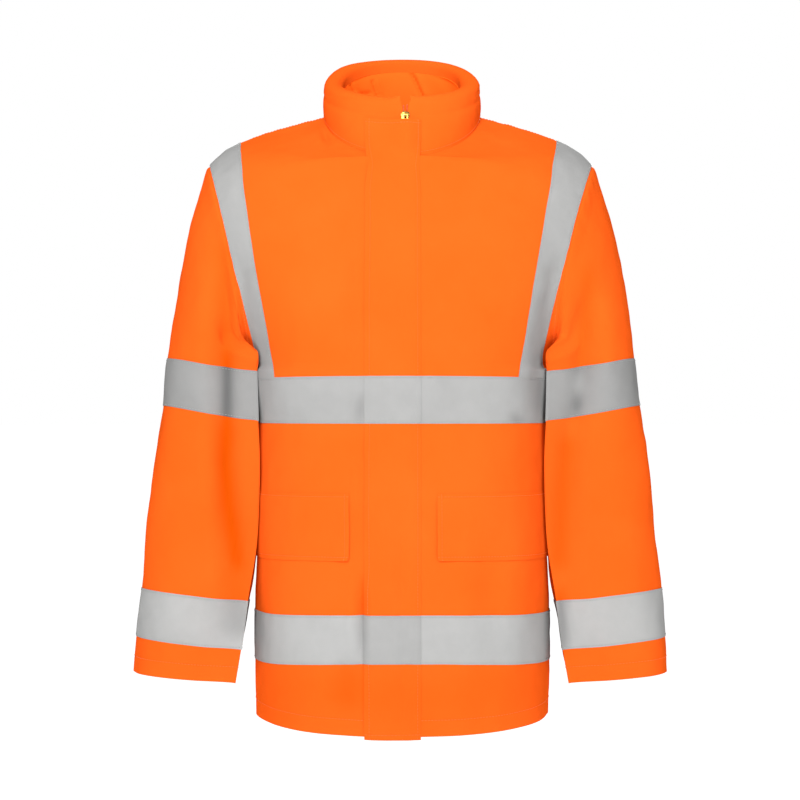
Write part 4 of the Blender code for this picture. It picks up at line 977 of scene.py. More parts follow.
def wall_faces(outer, inner, closed=False, joined_rows=0):
    """Faces of a thin wall between two grids, and the material number of each. The first column
    gets its rim only from joined_rows on."""
    rows, cols = outer.shape[:2]
    layer = rows * cols
    steps = np.arange(cols if closed else cols - 1)
    i, j = np.meshgrid(np.arange(rows - 1), steps, indexing="ij")
    a = (i * cols + j).ravel()
    b = (i * cols + (j + 1) % cols).ravel()
    c, d = b + cols, a + cols
    front = np.stack([a, b, c, d], axis=1)
    back = np.stack([layer + a, layer + d, layer + c, layer + b], axis=1)
    edges = []
    for start, turned in ((0, False), ((rows - 1) * cols, True)):
        edges.append((start + steps, start + (steps + 1) % cols, turned))
    if not closed:
        for column, turned, first in ((0, True, joined_rows), (cols - 1, False, 0)):
            p = np.arange(first, rows - 1) * cols + column
            edges.append((p, p + cols, turned))
    rims = []
    for p, q, turned in edges:
        quad = np.stack([p, layer + p, layer + q, q], axis=1)
        rims.append(quad[:, ::-1] if turned else quad)
    rim = np.concatenate(rims)
    faces = np.concatenate([front, back, rim])
    numbers = np.repeat((0, 1, 0), (len(front), len(back), len(rim)))
    r, k = rows // 2, cols // 2
    normal = np.cross(outer[r, (k + 1) % cols] - outer[r, k], outer[r + 1, k] - outer[r, k])
    if normal @ (outer[r, k] - inner[r, k]) < 0:
        faces = faces[:, ::-1]
    return faces, numbers


def shell(name, outer, inner, materials, closed=False):
    """A closed thin wall between two grids."""
    faces, numbers = wall_faces(outer, inner, closed)
    points = np.concatenate([outer.reshape(-1, 3), inner.reshape(-1, 3)])
    uv = grid_uv(outer, closed).reshape(-1, 2)
    return make_mesh(name, points, faces, numbers, materials, np.concatenate([uv, uv]))


def joined_shell(name, grids, joined_rows, materials):
    """One shell from two half grids that share their first column below joined_rows."""
    points, faces, numbers, uvs = [], [], [], []
    offset = 0
    for outer, inner in grids:
        half_faces, half_numbers = wall_faces(outer, inner, joined_rows=joined_rows)
        faces.append(half_faces + offset)
        numbers.append(half_numbers)
        points += [outer.reshape(-1, 3), inner.reshape(-1, 3)]
        offset += 2 * outer.shape[0] * outer.shape[1]
        uv = grid_uv(outer)
        uv = (uv - uv[:, :1] * (1, 0)) * (np.sign(outer[0, -1, 0]), 1)
        uvs += [uv.reshape(-1, 2)] * 2
    points, faces, numbers, uvs = map(np.concatenate, (points, faces, numbers, uvs))
    keys = np.round(points / SAME_POINT).astype(np.int64)
    _, first, back_to = np.unique(keys, axis=0, return_index=True, return_inverse=True)
    return make_mesh(name, points[first], back_to.ravel()[faces], numbers, materials, uvs[first])


def lay(name, points, normals, lift, thick, materials, closed=False):
    """A strip that lies on points of a panel, at a height off them and with a thickness."""
    low = np.broadcast_to(lift, points.shape[:2])[..., None]
    high = low + np.broadcast_to(thick, points.shape[:2])[..., None]
    return shell(name, points + normals * high, points + normals * low, materials, closed)


def finish_piece(obj, slot_name, *nodes):
    """Hang a piece on the jacket's body, in the place of its nodes."""
    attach(obj, "jacket")
    if nodes:
        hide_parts(*nodes)
    return obj


# Stitching: short threads along a line on a surface

STITCH = 0.0030
STITCH_GAP = 0.0010
THREAD_HALF = 0.00030
THREAD_HEIGHT = 0.00032
# How far in from an edge each line of stitching runs
TAPE_STITCH_IN = 0.0022
HEM_STITCH_IN = 0.0200
SEAM_STITCH_IN = 0.0045
COLLAR_STITCH_IN = 0.0040
POCKET_STITCH_IN = 0.0055
POCKET_STITCH_IN_TOP = 0.0040
FLAP_STITCH_IN = 0.0065
FLAP_STITCH_IN_FREE = 0.0040
FLAP_STITCH_IN_TOP = 0.0050


def stitch_shapes(line, normals):
    """Points and faces of the stitches along a line of points."""
    line = np.asarray(line, dtype=float)
    lengths = np.concatenate([[0.0], np.cumsum(np.linalg.norm(np.diff(line, axis=0), axis=1))])
    total = lengths[-1]
    pitch = STITCH + STITCH_GAP
    count = int(total / pitch)
    if count < 1:
        return np.zeros((0, 3)), np.zeros((0, 4), dtype=int)

    def at(distance, values):
        return np.stack([np.interp(distance, lengths, values[:, k]) for k in range(3)], axis=1)

    start = (np.arange(count) + 0.5) * pitch * (total / (count * pitch)) - STITCH / 2
    points = []
    shares = (0.0, 0.22, 0.78, 1.0)
    heights = (-0.35, 0.75, 0.75, -0.35)
    ends = at(start + STITCH, line) - at(start, line)
    way = ends / (np.linalg.norm(ends, axis=1, keepdims=True) + 1e-12)
    for share, height in zip(shares, heights):
        centre = at(start + STITCH * share, line)
        up = at(start + STITCH * share, normals)
        up /= np.linalg.norm(up, axis=1, keepdims=True)
        across = np.cross(way, up)
        base = centre + up * THREAD_HEIGHT * height
        half = THREAD_HALF * (0.55 if height < 0 else 1.0)
        points += [base - across * half, base + up * half, base + across * half, base - up * half]
    points = np.stack(points, axis=1)
    faces = []
    for ring in range(3):
        for k in range(4):
            a = ring * 4 + k
            b = ring * 4 + (k + 1) % 4
            faces.append((a, b, b + 4, a + 4))
    faces += [(3, 2, 1, 0), (12, 13, 14, 15)]
    offsets = (np.arange(count) * 16)[:, None, None]
    return points.reshape(-1, 3), (np.array(faces)[None] + offsets).reshape(-1, 4)


def stitches(name, lines, material, slot_name):
    """One piece with the stitches along several lines."""
    points = []
    faces = []
    offset = 0
    for line, normals in lines:
        p, f = stitch_shapes(line, normals)
        points.append(p)
        faces.append(f + offset)
        offset += len(p)
    faces = np.concatenate(faces)
    obj = make_mesh(name, np.concatenate(points), faces, np.zeros(len(faces)), [material])
    return finish_piece(obj, slot_name)


def inset_line(points, normals, index, axis, distance, lift=0.0):
    """A line that runs beside a grid's edge, at a distance from it on the surface."""
    if axis == 1:
        points = points.transpose(1, 0, 2)
        normals = normals.transpose(1, 0, 2)
    if index < 0:
        points = points[::-1]
        normals = normals[::-1]
    lengths = run_lengths(points, 0)
    line = []
    ways = []
    for k in range(points.shape[1]):
        row = np.interp(distance, lengths[:, k], np.arange(len(points)))
        low = min(int(row), len(points) - 2)
        share = row - low
        line.append(lerp(points[low, k], points[low + 1, k], share))
        ways.append(lerp(normals[low, k], normals[low + 1, k], share))
    line = np.array(line)
    ways = np.array(ways)
    ways /= np.linalg.norm(ways, axis=1, keepdims=True)
    return line + ways * lift, ways


def round_line(line, ways):
    """The same line, closed to a ring."""
    return np.concatenate([line, line[:1]]), np.concatenate([ways, ways[:1]])


def tape_edges(points, ways, axis=0):
    """Stitching lines beside both long edges of a tape."""
    return [inset_line(points, ways, edge, axis, TAPE_STITCH_IN, TAPE_LIE + TAPE) for edge in (0, -1)]


# Materials

def feed(tree, made, **values):
    """Link or set a node's inputs. An underscore stands for a space in an input's name."""
    for name, value in values.items():
        socket = made.inputs[name.replace("_", " ")]
        if isinstance(value, bpy.types.NodeSocket):
            tree.links.new(value, socket)
        else:
            socket.default_value = value


def new_material(name):
    """A material with its tree, its shader and the place on the object for its textures."""
    material = bpy.data.materials.new(name)
    material.use_nodes = True
    tree = material.node_tree
    tree.nodes.clear()
    output = tree.nodes.new("ShaderNodeOutputMaterial")
    shader = tree.nodes.new("ShaderNodeBsdfPrincipled")
    tree.links.new(shader.outputs["BSDF"], output.inputs["Surface"])
    return material, tree, shader, node(tree, "ShaderNodeTexCoord").outputs["Object"]


def node(tree, kind, **settings):
    made = tree.nodes.new(kind)
    for key, value in settings.items():
        if key in made.inputs:
            made.inputs[key].default_value = value
        else:
            setattr(made, key, value)
    return made


def noise(tree, vector, scale, detail=3.0, rough=0.5):
    made = node(tree, "ShaderNodeTexNoise", Scale=scale, Detail=detail, Roughness=rough)
    feed(tree, made, Vector=vector)
    return made.outputs["Fac"]


def mapped(tree, value, low, high, to_low, to_high):
    made = node(tree, "ShaderNodeMapRange")
    feed(tree, made, Value=value, From_Min=low, From_Max=high, To_Min=to_low, To_Max=to_high)
    return made.outputs["Result"]


def multiplied(tree, a, b):
    made = node(tree, "ShaderNodeMath", operation="MULTIPLY")
    tree.links.new(a, made.inputs[0])
    if isinstance(b, float):
        made.inputs[1].default_value = b
    else:
        tree.links.new(b, made.inputs[1])
    return made.outputs[0]


def sine(tree, value):
    made = node(tree, "ShaderNodeMath", operation="SINE")
    made.inputs[1].default_value = 0.0
    tree.links.new(value, made.inputs[0])
    return made.outputs[0]


def mixed(tree, share, low, high):
    """A mix of two colours, the first of which can come from another node."""
    made = node(tree, "ShaderNodeMix", data_type="RGBA")
    tree.links.new(share, made.inputs["Factor"])
    first, second = [socket for socket in made.inputs if socket.type == "RGBA"]
    if isinstance(low, tuple):
        first.default_value = (*low, 1.0)
    else:
        tree.links.new(low, first)
    second.default_value = (*high, 1.0)
    return next(out for out in made.outputs if out.type == "RGBA")


def shaded(tree, colour, dark):
    """A colour that turns to a darker one, painted shade, where the mesh's shade says so."""
    shade = node(tree, "ShaderNodeAttribute", attribute_name="shade")
    return mixed(tree, shade.outputs["Fac"], colour, dark)


def weave(tree, pitch):
    """A plain weave: warp and weft threads that pass over each other, in metres on the cloth."""
    split = node(tree, "ShaderNodeSeparateXYZ")
    feed(tree, split, Vector=node(tree, "ShaderNodeUVMap", uv_map="cloth").outputs["UV"])
    turns = 2 * math.pi / pitch
    warp, weft = [sine(tree, multiplied(tree, split.outputs[axis], turns)) for axis in "XY"]
    return mapped(tree, multiplied(tree, warp, weft), -1.0, 1.0, 0.0, 1.0)


def bump(tree, shader, *heights):
    """Chain bumps, each a height, a strength and a depth in metres, into the shader."""
    last = None
    for height, strength, distance in heights:
        made = node(tree, "ShaderNodeBump", Strength=strength, Distance=distance)
        feed(tree, made, Height=height)
        if last is not None:
            feed(tree, made, Normal=last)
        last = made.outputs["Normal"]
    feed(tree, shader, Normal=last)


# Painted shade: the colour the cloth turns to, and the share of its grey the tape keeps, where the shade
# is full
ORANGE_PAINTED_SHADE = (0.340, 0.0400, 0.0004)
# Colour of the cloth's emission, partly fluorescence and partly painted light
ORANGE_GLOW = (1.0, 0.130, 0.002, 1.0)
TAPE_PAINTED_SHADE_SHARE = 0.38
WEAVE_PITCH = 0.0011


def cloth_material(name, bright, dull, roughness, glow):
    """Fluorescent coated weave, whose emission is partly fluorescence and partly painted light."""
    material, tree, shader, place = new_material(name)
    cloud = noise(tree, place, 9.0, 4.0, 0.55)
    grain = noise(tree, place, 900.0, 2.0, 0.6)
    crumple = noise(tree, place, 60.0, 5.0, 0.55)
    colour = mixed(tree, mapped(tree, cloud, 0.32, 0.68, 0.0, 1.0), dull, bright)
    feed(
        tree, shader,
        Base_Color=shaded(tree, colour, ORANGE_PAINTED_SHADE),
        Roughness=mapped(tree, grain, 0.3, 0.7, roughness - 0.06, roughness + 0.06),
        Specular_IOR_Level=0.0,
        Emission_Color=ORANGE_GLOW,
        Emission_Strength=glow,
    )
    threads = weave(tree, WEAVE_PITCH)
    bump(tree, shader, (threads, 0.22, 0.00018), (grain, 0.10, 0.00010), (crumple, 0.20, 0.0012))
    return material


def tape_material(name, dark, light):
    """Grey reflective tape: fine glass beads on a fabric backing."""
    material, tree, shader, place = new_material(name)
    beads = node(tree, "ShaderNodeTexVoronoi", Scale=1600.0)
    feed(tree, beads, Vector=place)
    cloud = noise(tree, place, 14.0, 5.0, 0.6)
    crumple = noise(tree, place, 45.0, 4.0, 0.5)
    grey = [(level, level, level * 0.985) for level in (dark, light)]
    colour = mixed(tree, mapped(tree, cloud, 0.30, 0.70, 0.0, 1.0), *grey)
    feed(
        tree, shader,
        Base_Color=shaded(tree, colour, [dark * TAPE_PAINTED_SHADE_SHARE] * 3),
        Roughness=mapped(tree, cloud, 0.3, 0.7, 0.42, 0.54),
        Specular_IOR_Level=0.0,
    )
    bump(tree, shader, (beads.outputs["Distance"], 0.12, 0.00006), (crumple, 0.22, 0.0012))
    return material


def brass_material():
    material, tree, shader, place = new_material("satin_brass")
    wear = noise(tree, place, 350.0, 4.0, 0.6)
    worn = mapped(tree, wear, 0.35, 0.65, 0.0, 1.0)
    feed(
        tree, shader,
        Base_Color=mixed(tree, worn, (0.20, 0.115, 0.022), (0.34, 0.215, 0.050)),
        Metallic=1.0,
        Roughness=mapped(tree, wear, 0.3, 0.7, 0.22, 0.36),
    )
    bump(tree, shader, (noise(tree, place, 2200.0, 2.0, 0.5), 0.15, 0.00005))
    return material


def thread_material(name, low, high):
    material, tree, shader, place = new_material(name)
    fuzz = noise(tree, place, 1800.0, 2.0, 0.5)
    feed(tree, shader, Base_Color=mixed(tree, fuzz, low, high), Roughness=0.62)
    bump(tree, shader, (fuzz, 0.25, 0.0001))
    return material


def floor_material():
    material, tree, shader, place = new_material("floor_white")
    speck = noise(tree, place, 3.0, 3.0, 0.5)
    feed(
        tree, shader,
        Base_Color=mixed(tree, speck, (0.86, 0.86, 0.86), (0.90, 0.90, 0.90)),
        Roughness=0.9,
        Specular_IOR_Level=0.0,
        Emission_Color=(1.0, 1.0, 1.0, 1.0),
        Emission_Strength=FLOOR_GLOW,
    )
    return material


INSIDE = ((0.575, 0.0705, 0.0085), (0.530, 0.0635, 0.0070), 0.68)
ORANGE = cloth_material("orange_outside", (0.595, 0.0735, 0.0078), (0.545, 0.0660, 0.0062), 0.58, 0.08)
ORANGE_IN = cloth_material("orange_inside", *INSIDE, 0.08)
# Copies of the one grey tape: the lower copy, on the hem and cuff bands, is painted light, and the sleeve
# copy, on the upper sleeve bands, painted shade
SILVER = tape_material("reflective_tape", 0.199, 0.226)
SILVER_PAINTED_LIGHTER = tape_material("reflective_tape_painted_lighter", 0.229, 0.260)
SILVER_PAINTED_DARKER = tape_material("reflective_tape_painted_darker", 0.174, 0.200)
# The lining glows more strongly: painted light that lightens the shaded inside of the collar
LINING = cloth_material("orange_lining", *INSIDE, 0.36)
BRASS = brass_material()
THREAD = thread_material("orange_thread", (0.600, 0.080, 0.002), (0.680, 0.100, 0.003))
TAPE_THREAD = thread_material("grey_thread", (0.17, 0.17, 0.165), (0.23, 0.23, 0.225))
TEETH = thread_material("orange_coil", (0.480, 0.060, 0.002), (0.580, 0.078, 0.003))
CLOTHS = [ORANGE, ORANGE_IN]
TAPES = {"chest": [SILVER] * 2, "flap": [SILVER] * 2, "hem": [SILVER_PAINTED_LIGHTER] * 2}
TAPES["upper"] = [SILVER_PAINTED_DARKER] * 2
TAPES["lower"] = [SILVER_PAINTED_LIGHTER] * 2


# Pieces

SIDES = ((-1, "right"), (1, "left"))
pieces = {}
fronts = {side: build_body(side, False) for side in (-1, 1)}
backs = {side: build_body(side, True) for side in (-1, 1)}
sleeves = {side: build_sleeve(side) for side in (-1, 1)}
for side, word in SIDES:
    dress_body(fronts[side], f"front_{word}", 10 * side + 40)
    dress_sleeve(sleeves[side], f"sleeve_{word}", 10 * side + 80)

# The back is one piece: both halves as one grid, with the neck's edge along its top
right, left = backs[-1], backs[1]
for half in (right, left):
    dress_body(half, "back", 64)
    rows = slice(0, half.neck + 1)
    half.points[rows, 0, 0] = 0.0
    middle = half.normals[rows, 0]
    middle[:, 0] = 0.0
    half.normals[rows, 0] = middle / np.linalg.norm(middle, axis=1, keepdims=True)
shared = (right.points[:right.neck + 1, 0] + left.points[:left.neck + 1, 0]) / 2
shared_ways = right.normals[:right.neck + 1, 0] + left.normals[:left.neck + 1, 0]
shared_ways /= np.linalg.norm(shared_ways, axis=1, keepdims=True)
for half in (right, left):
    half.points[:half.neck + 1, 0] = shared
    half.normals[:half.neck + 1, 0] = shared_ways


def add_cloth(name, panel, nodes, materials=CLOTHS):
    """A cloth piece that lies inside the surface of its panel."""
    inner = panel.points - panel.normals * CLOTH
    obj = shell(f"cloth_{name}", panel.points, inner, materials, panel.closed)
    pieces[name] = finish_piece(obj, "orange_cloth", *nodes)


def add_tape(name, node_name, points, ways, materials, closed=False):
    """A tape that lies on points of a panel."""
    obj = lay(f"tape_{name}", points, ways, TAPE_LIE, TAPE, materials, closed)
    pieces[node_name] = finish_piece(obj, "silver_tape", node_name)


for side, word in SIDES:
    add_cloth(f"front_{word}", fronts[side], (f"front_{word}_upper", f"front_{word}_lower"))
    nodes = [f"sleeve_{word}_{part}" for part in ("cap", "upper", "band", "lower")]
    add_cloth(f"sleeve_{word}", sleeves[side], nodes)
grids = [(half.points, half.points - half.normals * CLOTH) for half in (right, left)]
obj = joined_shell("cloth_back", grids, right.neck, CLOTHS)
pieces["back"] = finish_piece(obj, "orange_cloth", "back_upper", "back_lower")


# Collar

def rim_radius(angle):
    return RIM_RADIUS + RIM_SIDE_MORE * math.sin(math.radians(angle)) ** 2


def rim_point(side, angle):
    """A point where the stand turns into the roll, and the way out there."""
    turn = math.radians(angle)
    x = side * RIM_HALF_WIDTH * math.sin(turn)
    y = RIM_MID_Y - RIM_HALF_DEPTH * math.cos(turn)
    share = (1 - math.cos(turn)) / 2
    z = RIM_FRONT_Z + (RIM_BACK_Z - RIM_FRONT_Z) * share + RIM_RADIUS - rim_radius(angle)
    out = unit((math.sin(turn) / RIM_HALF_WIDTH * side, -math.cos(turn) / RIM_HALF_DEPTH, 0.0))
    return np.array((x, y, z)), out


def collar_point(side, angle, share):
    """A point of the collar's stand, by its share of the way up to the rim."""
    base = neck_point(side, angle)[0]
    rim, out = rim_point(side, angle)
    return lerp(base, rim, share) + out * COLLAR_SWELL * math.sin(math.pi * share)


COLLAR_EDGE = {
    side: math.degrees(math.asin((ZIP_SLOT_HALF + side * ZIP_X) / NECK_HALF_WIDTH)) for side in (-1, 1)
}


def collar_columns():
    """Side and angle of each column, from one edge at the zip round the neck to the other."""
    angles = [*NECK_ANGLES_FRONT, 90.0, *NECK_ANGLES_BACK]
    columns = []
    for side in (-1, 1):
        marks = [COLLAR_EDGE[side], *angles, 180.0]
        fine = []
        for a, b in zip(marks, marks[1:]):
            fine += [(side, a + (b - a) * step / COLLAR_STEPS) for step in range(COLLAR_STEPS)]
        columns.append([*fine, (side, 180.0)])
    return columns[0] + columns[1][:-1][::-1]


# Creases of the inside, seen from the front. columns: x and z of the upper end and of the lower
# end, half width, depth
CREASES = (
    ((-0.0767, 0.0645), (-0.0651, 0.0418), 0.0022, 0.0034),
    ((-0.0397, 0.0558), (-0.0331, 0.0391), 0.0022, 0.0034),
    ((-0.0450, 0.0400), (-0.0540, 0.0385), 0.0030, 0.0030),
    ((0.0120, 0.0699), (0.0287, 0.0351), 0.0026, 0.0048),
    ((0.0560, 0.0640), (0.0680, 0.0380), 0.0080, 0.0036),
    ((0.0440, 0.0690), (0.0700, 0.0640), 0.0060, 0.0020),
)
PINCH_REACH = 0.014
PINCH_LEAST = 0.30
PART_AT_RIM = 0.0036
PART_REACH = 0.030
RIM_TURNS = tuple(range(15, 181, 15))
TURN_DOWN_SHARES = (0.33, 0.66, 1.0)
COLLAR_ROWS = 19
LINING_ROWS = 30
# The channel under the rolled rim, where it is stitched down: its place and half width as shares of
# the stand's height, and its depth
CHANNEL_AT = 0.74
CHANNEL_HALF = 0.07
CHANNEL_DEPTH = 0.0010
LINING_SLACK = 0.0050


def collar_ends(columns):
    """For each column: how full the roll is, pinched to the zip, and how far it parts there."""
    full = []
    part = []
    for side, angle in columns:
        away = (angle - COLLAR_EDGE[side]) * math.radians(1) * RIM_HALF_DEPTH
        full.append(PINCH_LEAST + (1 - PINCH_LEAST) * float(ease(away / PINCH_REACH)))
        part.append(side * PART_AT_RIM * float(1 - ease(away / PART_REACH)))
    return full, part


def build_collar():
    """The outside with its rolled rim, and the inside."""
    columns = collar_columns()
    full, part = collar_ends(columns)
    up = np.array((0.0, 0.0, 1.0))
    rows = []
    for share in np.linspace(0.0, 1.0, COLLAR_ROWS):
        opened = float(ease((share - SLIDER_SHARE) / (1.15 - SLIDER_SHARE)))
        row = [collar_point(side, angle, share) for side, angle in columns]
        rows.append([point + np.array((shift * opened, 0.0, 0.0)) for point, shift in zip(row, part)])
    for turn in RIM_TURNS:
        bend = math.radians(turn)
        row = []
        for (side, angle), fullness, shift in zip(columns, full, part):
            rim, out = rim_point(side, angle)
            radius = rim_radius(angle)
            inward = out * radius * fullness * (math.cos(bend) - 1)
            row.append(rim + inward + up * math.sin(bend) * radius + np.array((shift, 0.0, 0.0)))
        rows.append(row)
    turned = None
    for share in TURN_DOWN_SHARES:
        turned = []
        for (side, angle), fullness, shift in zip(columns, full, part):
            rim, out = rim_point(side, angle)
            inward = out * 2 * rim_radius(angle) * fullness
            turned.append(rim - inward - up * RIM_TURN_DOWN * share + np.array((shift, 0.0, 0.0)))
        rows.append(turned)
    points = np.array(rows)
    for number, (side, angle) in enumerate(columns):
        seam, _, way = neck_point(side, angle)
        points[0, number] = seam + way * SEAM_HALF
    centre = np.array((0.0, RIM_MID_Y, 0.0))
    outward = (points - centre) * (1, 1, 0)
    outward[COLLAR_ROWS + 6:] = 0.0
    outer = Panel(points, outward, None, None)
    inner_rows = []
    for share in np.linspace(0.0, 1.0, LINING_ROWS):
        row = []
        for number, (side, angle) in enumerate(columns):
            gap = COLLAR_LAYER_GAP * full[number]
            low = neck_point(side, angle)[0] - rim_point(side, angle)[1] * gap
            row.append(lerp(low, turned[number] - up * 0.0002, share))
        inner_rows.append(row)
    inner = np.array(inner_rows)
    lining = Panel(inner, -(inner - centre) * (1, 1, 0), None, None)
    return outer, lining


def from_ends(points):
    """Distance of each point from the nearer end of its row."""
    ends = run_lengths(points, 1)
    return np.minimum(ends, ends[:, -1:] - ends)


def dress_collar(outer, lining):
    """Waves in the collar's outside, and slack, waves and creases in its inside."""
    rows = np.arange(outer.points.shape[0])[:, None]
    last = COLLAR_ROWS - 1
    pin = ease(rows / (0.25 * last)) * ease(from_ends(outer.points) / 0.015)
    stand = rows <= last
    depth = np.where(stand, waves(outer.points, 301, 0.040, 0.090) * 0.0005 * pin, 0.0)
    depth = depth + np.where(stand, waves(outer.points, 302, 0.014, 0.030) * 0.00012 * pin, 0.0)
    channel = np.exp(-((rows - CHANNEL_AT * last) / (CHANNEL_HALF * last)) ** 2) * stand
    depth = depth + CHANNEL_DEPTH * channel * ease(from_ends(outer.points) / 0.010)
    depth = depth + waves(outer.points, 303, 0.050, 0.100) * 0.0005 * np.where(stand, 0.0, 1.0) * pin
    outer.press(depth)
    t = np.linspace(0, 1, lining.points.shape[0])[:, None]
    loose = ease(from_ends(lining.points) / 0.03) * np.sin(math.pi * t) ** 0.8
    depth = (-LINING_SLACK + waves(lining.points, 311, 0.030, 0.070) * 0.0010) * loose
    flat = lining.points[..., (0, 2)]
    behind = lining.points[..., 1] > 0
    for start, end, half_width, deep in CREASES:
        start = np.array(start)
        way = np.array(end) - start
        along = (flat - start) @ way / (way @ way)
        off = np.linalg.norm(flat - start - np.clip(along, 0, 1)[..., None] * way, axis=-1)
        beside = (flat - start) @ np.array((way[1], -way[0])) / np.linalg.norm(way)
        ridge = np.exp(-((beside + 2.2 * half_width) / (1.4 * half_width)) ** 2)
        ridge = ridge * within(along, 0.0, 1.0, 0.3)
        depth = depth + np.where(behind, deep * (np.exp(-(off / half_width) ** 2) - 0.35 * ridge), 0.0)
    lining.press(depth * ease((1 - t) / 0.06))


collar, lining = build_collar()
dress_collar(collar, lining)
add_cloth("collar", collar, ["collar"])
add_cloth("collar_inner", lining, ["collar_inner"], [LINING, LINING])


# Storm flap: over the zip, from below the hem up to the middle of the collar

def flap_surface():
    """Base points under the flap, free edge first, from the hem up to its top on the collar."""
    to_edge = np.linspace(2, 0, FLAP_COLS_RIGHT)
    halves = ((fronts[-1], to_edge), (fronts[1], np.linspace(0, 1, FLAP_COLS_LEFT)))
    grid = []
    for row_place in np.linspace(0, 1, FLAP_ROWS):
        row = []
        for panel, coarse in halves:
            cols = panel.place(panel.col_marks, coarse)
            row.append(panel.pick(np.full(len(cols), row_place * panel.neck), cols)[0])
        grid.append(np.concatenate(row))
    # the same columns on the collar, by distance from the middle
    widths = grid[-1][:, 0]
    for share in np.linspace(0, FLAP_TOP_SHARE, FLAP_ROWS_COLLAR + 1)[1:]:
        row = []
        for x in widths:
            side = -1 if x < ZIP_X else 1
            distance = max(side * x, -0.05)
            angle = math.degrees(math.asin(np.clip(distance / NECK_HALF_WIDTH, -1, 1)))
            row.append(collar_point(side, angle, share))
        grid.append(row)
    return np.array(grid)


flap_base = flap_surface()
for _ in range(FLAP_SMOOTHINGS):
    flap_base[1:-1] = flap_base[1:-1] * 0.5 + (flap_base[:-2] + flap_base[2:]) * 0.25
base_ways = grid_normals(flap_base, FORWARD)
flap_cols = flap_base.shape[1]
flap_base[0] = flap_base[0] - unit(flap_base[1, 10] - flap_base[0, 10]) * FLAP_BELOW_HEM
across_flap = np.linspace(0, 1, flap_cols)[None]
height_flap = flap_base[..., 2]
on_collar = ease((height_flap - COLLAR_LIFT_FROM) / COLLAR_LIFT_OVER)
over_pull = np.exp(-((flap_base[..., 0] - ZIP_X) / LIFT_PULL_HALF) ** 2)
lift = LEAST_LIFT + LIFT_AT_SIDE * (1 - across_flap)
lift = lift + (LIFT_ON_COLLAR + LIFT_OVER_PULL * over_pull) * on_collar
lift = lift + waves(flap_base, 401, 0.050, 0.100, (0.6, 0.6, 1.0)) * 0.0002 * (1 - across_flap)
stud_x = -lerp(*FRONT_COLUMNS[-1][1:3], STUD_ACROSS)
for height in STUD_HEIGHTS:
    off = np.hypot(flap_base[..., 0] - stud_x, height_flap - height)
    lift = np.maximum(lift, STUD_TOP * (1 - ease((off - STUD_RADIUS - STUD_FLAT) / STUD_SWELL)))
    lift = lift - STUD_DIMPLE * np.exp(-(off / STUD_DIMPLE_HALF) ** 2)
lift = np.maximum(lift, LEAST_LIFT)
flap_under = flap_base + base_ways * lift[..., None]
flap_ways = grid_normals(flap_under, FORWARD)
side_reach = np.minimum(across_flap, 1 - across_flap) * FLAP_WIDTH
top_reach = run_lengths(flap_base, 0)
top_reach = np.minimum(top_reach[-1:] - top_reach, 0.1)
flap_thick = FLAP_EDGE + (FLAP_CLOTH - FLAP_EDGE) * ease(np.minimum(side_reach, top_reach) / 0.006)
flap_outer = flap_under + flap_ways * flap_thick[..., None]
obj = shell("cloth_storm_flap", flap_outer, flap_under, CLOTHS)
pieces["storm_flap"] = finish_piece(obj, "orange_cloth", "storm_flap")


# Pocket flaps

# How far the flap lies off the front: at least, more at its foot and at its inner edge, where it is
# also thicker, and by waves
POCKET_LIFT = 0.0002
POCKET_LIFT_FOOT = 0.0003
POCKET_LIFT_INNER = 0.0013
POCKET_THICKER_INNER = 0.0004
POCKET_INNER_REACH = 0.016
POCKET_WAVE = 0.0002
POCKET_CORNER = 0.5


def pocket_grid(panel, first_column):
    """Points and normals of a front under its pocket flap, and how far down the flap each row is."""
    low = panel.place(panel.row_marks, section("pocket_low", TORSO))
    high = panel.place(panel.row_marks, section("pocket_high", TORSO))
    start = panel.place(panel.col_marks, first_column)
    end = panel.place(panel.col_marks, EDGE_COLUMN)
    rows = np.linspace(low, high, POCKET_ROWS)
    # the lower inner corner is cut off
    cut = POCKET_CORNER * np.clip(1 - (rows - low), 0.0, None) ** 2
    grid_cols = np.linspace(start + cut, end, POCKET_COLS, axis=1)
    points, ways = panel.pick(np.broadcast_to(rows[:, None], grid_cols.shape), grid_cols)
    down = np.clip((high - rows) / (high - low), 0, 1)[:, None]
    return points, ways, down


for side, word, first in ((-1, "right", 3), (1, "left", 2)):
    points, ways, down = pocket_grid(fronts[side], first)
    inner_edge = np.exp(-(run_lengths(points, 1) / POCKET_INNER_REACH) ** 2) * ease(down / 0.25)
    lift = POCKET_LIFT + POCKET_LIFT_FOOT * down + POCKET_LIFT_INNER * inner_edge
    lift = lift + np.abs(waves(points, 500 + side, 0.03, 0.07)) * POCKET_WAVE * down
    reach = np.minimum(run_lengths(points, 0), 0.02)
    thick = POCKET_EDGE + (POCKET_CLOTH - POCKET_EDGE) * ease(reach / 0.008) * ease(down / 0.2)
    thick = thick + POCKET_THICKER_INNER * inner_edge
    obj = lay(f"cloth_pocket_flap_{word}", points, ways, lift, thick, CLOTHS)
    pieces[f"pocket_flap_{word}"] = finish_piece(obj, "orange_cloth", f"pocket_flap_{word}")
    surface = points + ways * (lift + thick)[..., None]
    lines = [
        inset_line(surface, ways, 0, 0, POCKET_STITCH_IN),
        inset_line(surface, ways, 0, 1, POCKET_STITCH_IN),
        inset_line(surface, ways, -1, 0, POCKET_STITCH_IN_TOP),
    ]
    pieces[f"pocket_stitch_{word}"] = stitches(f"stitch_pocket_{word}", lines, THREAD, "orange_cloth")


# Reflective bands

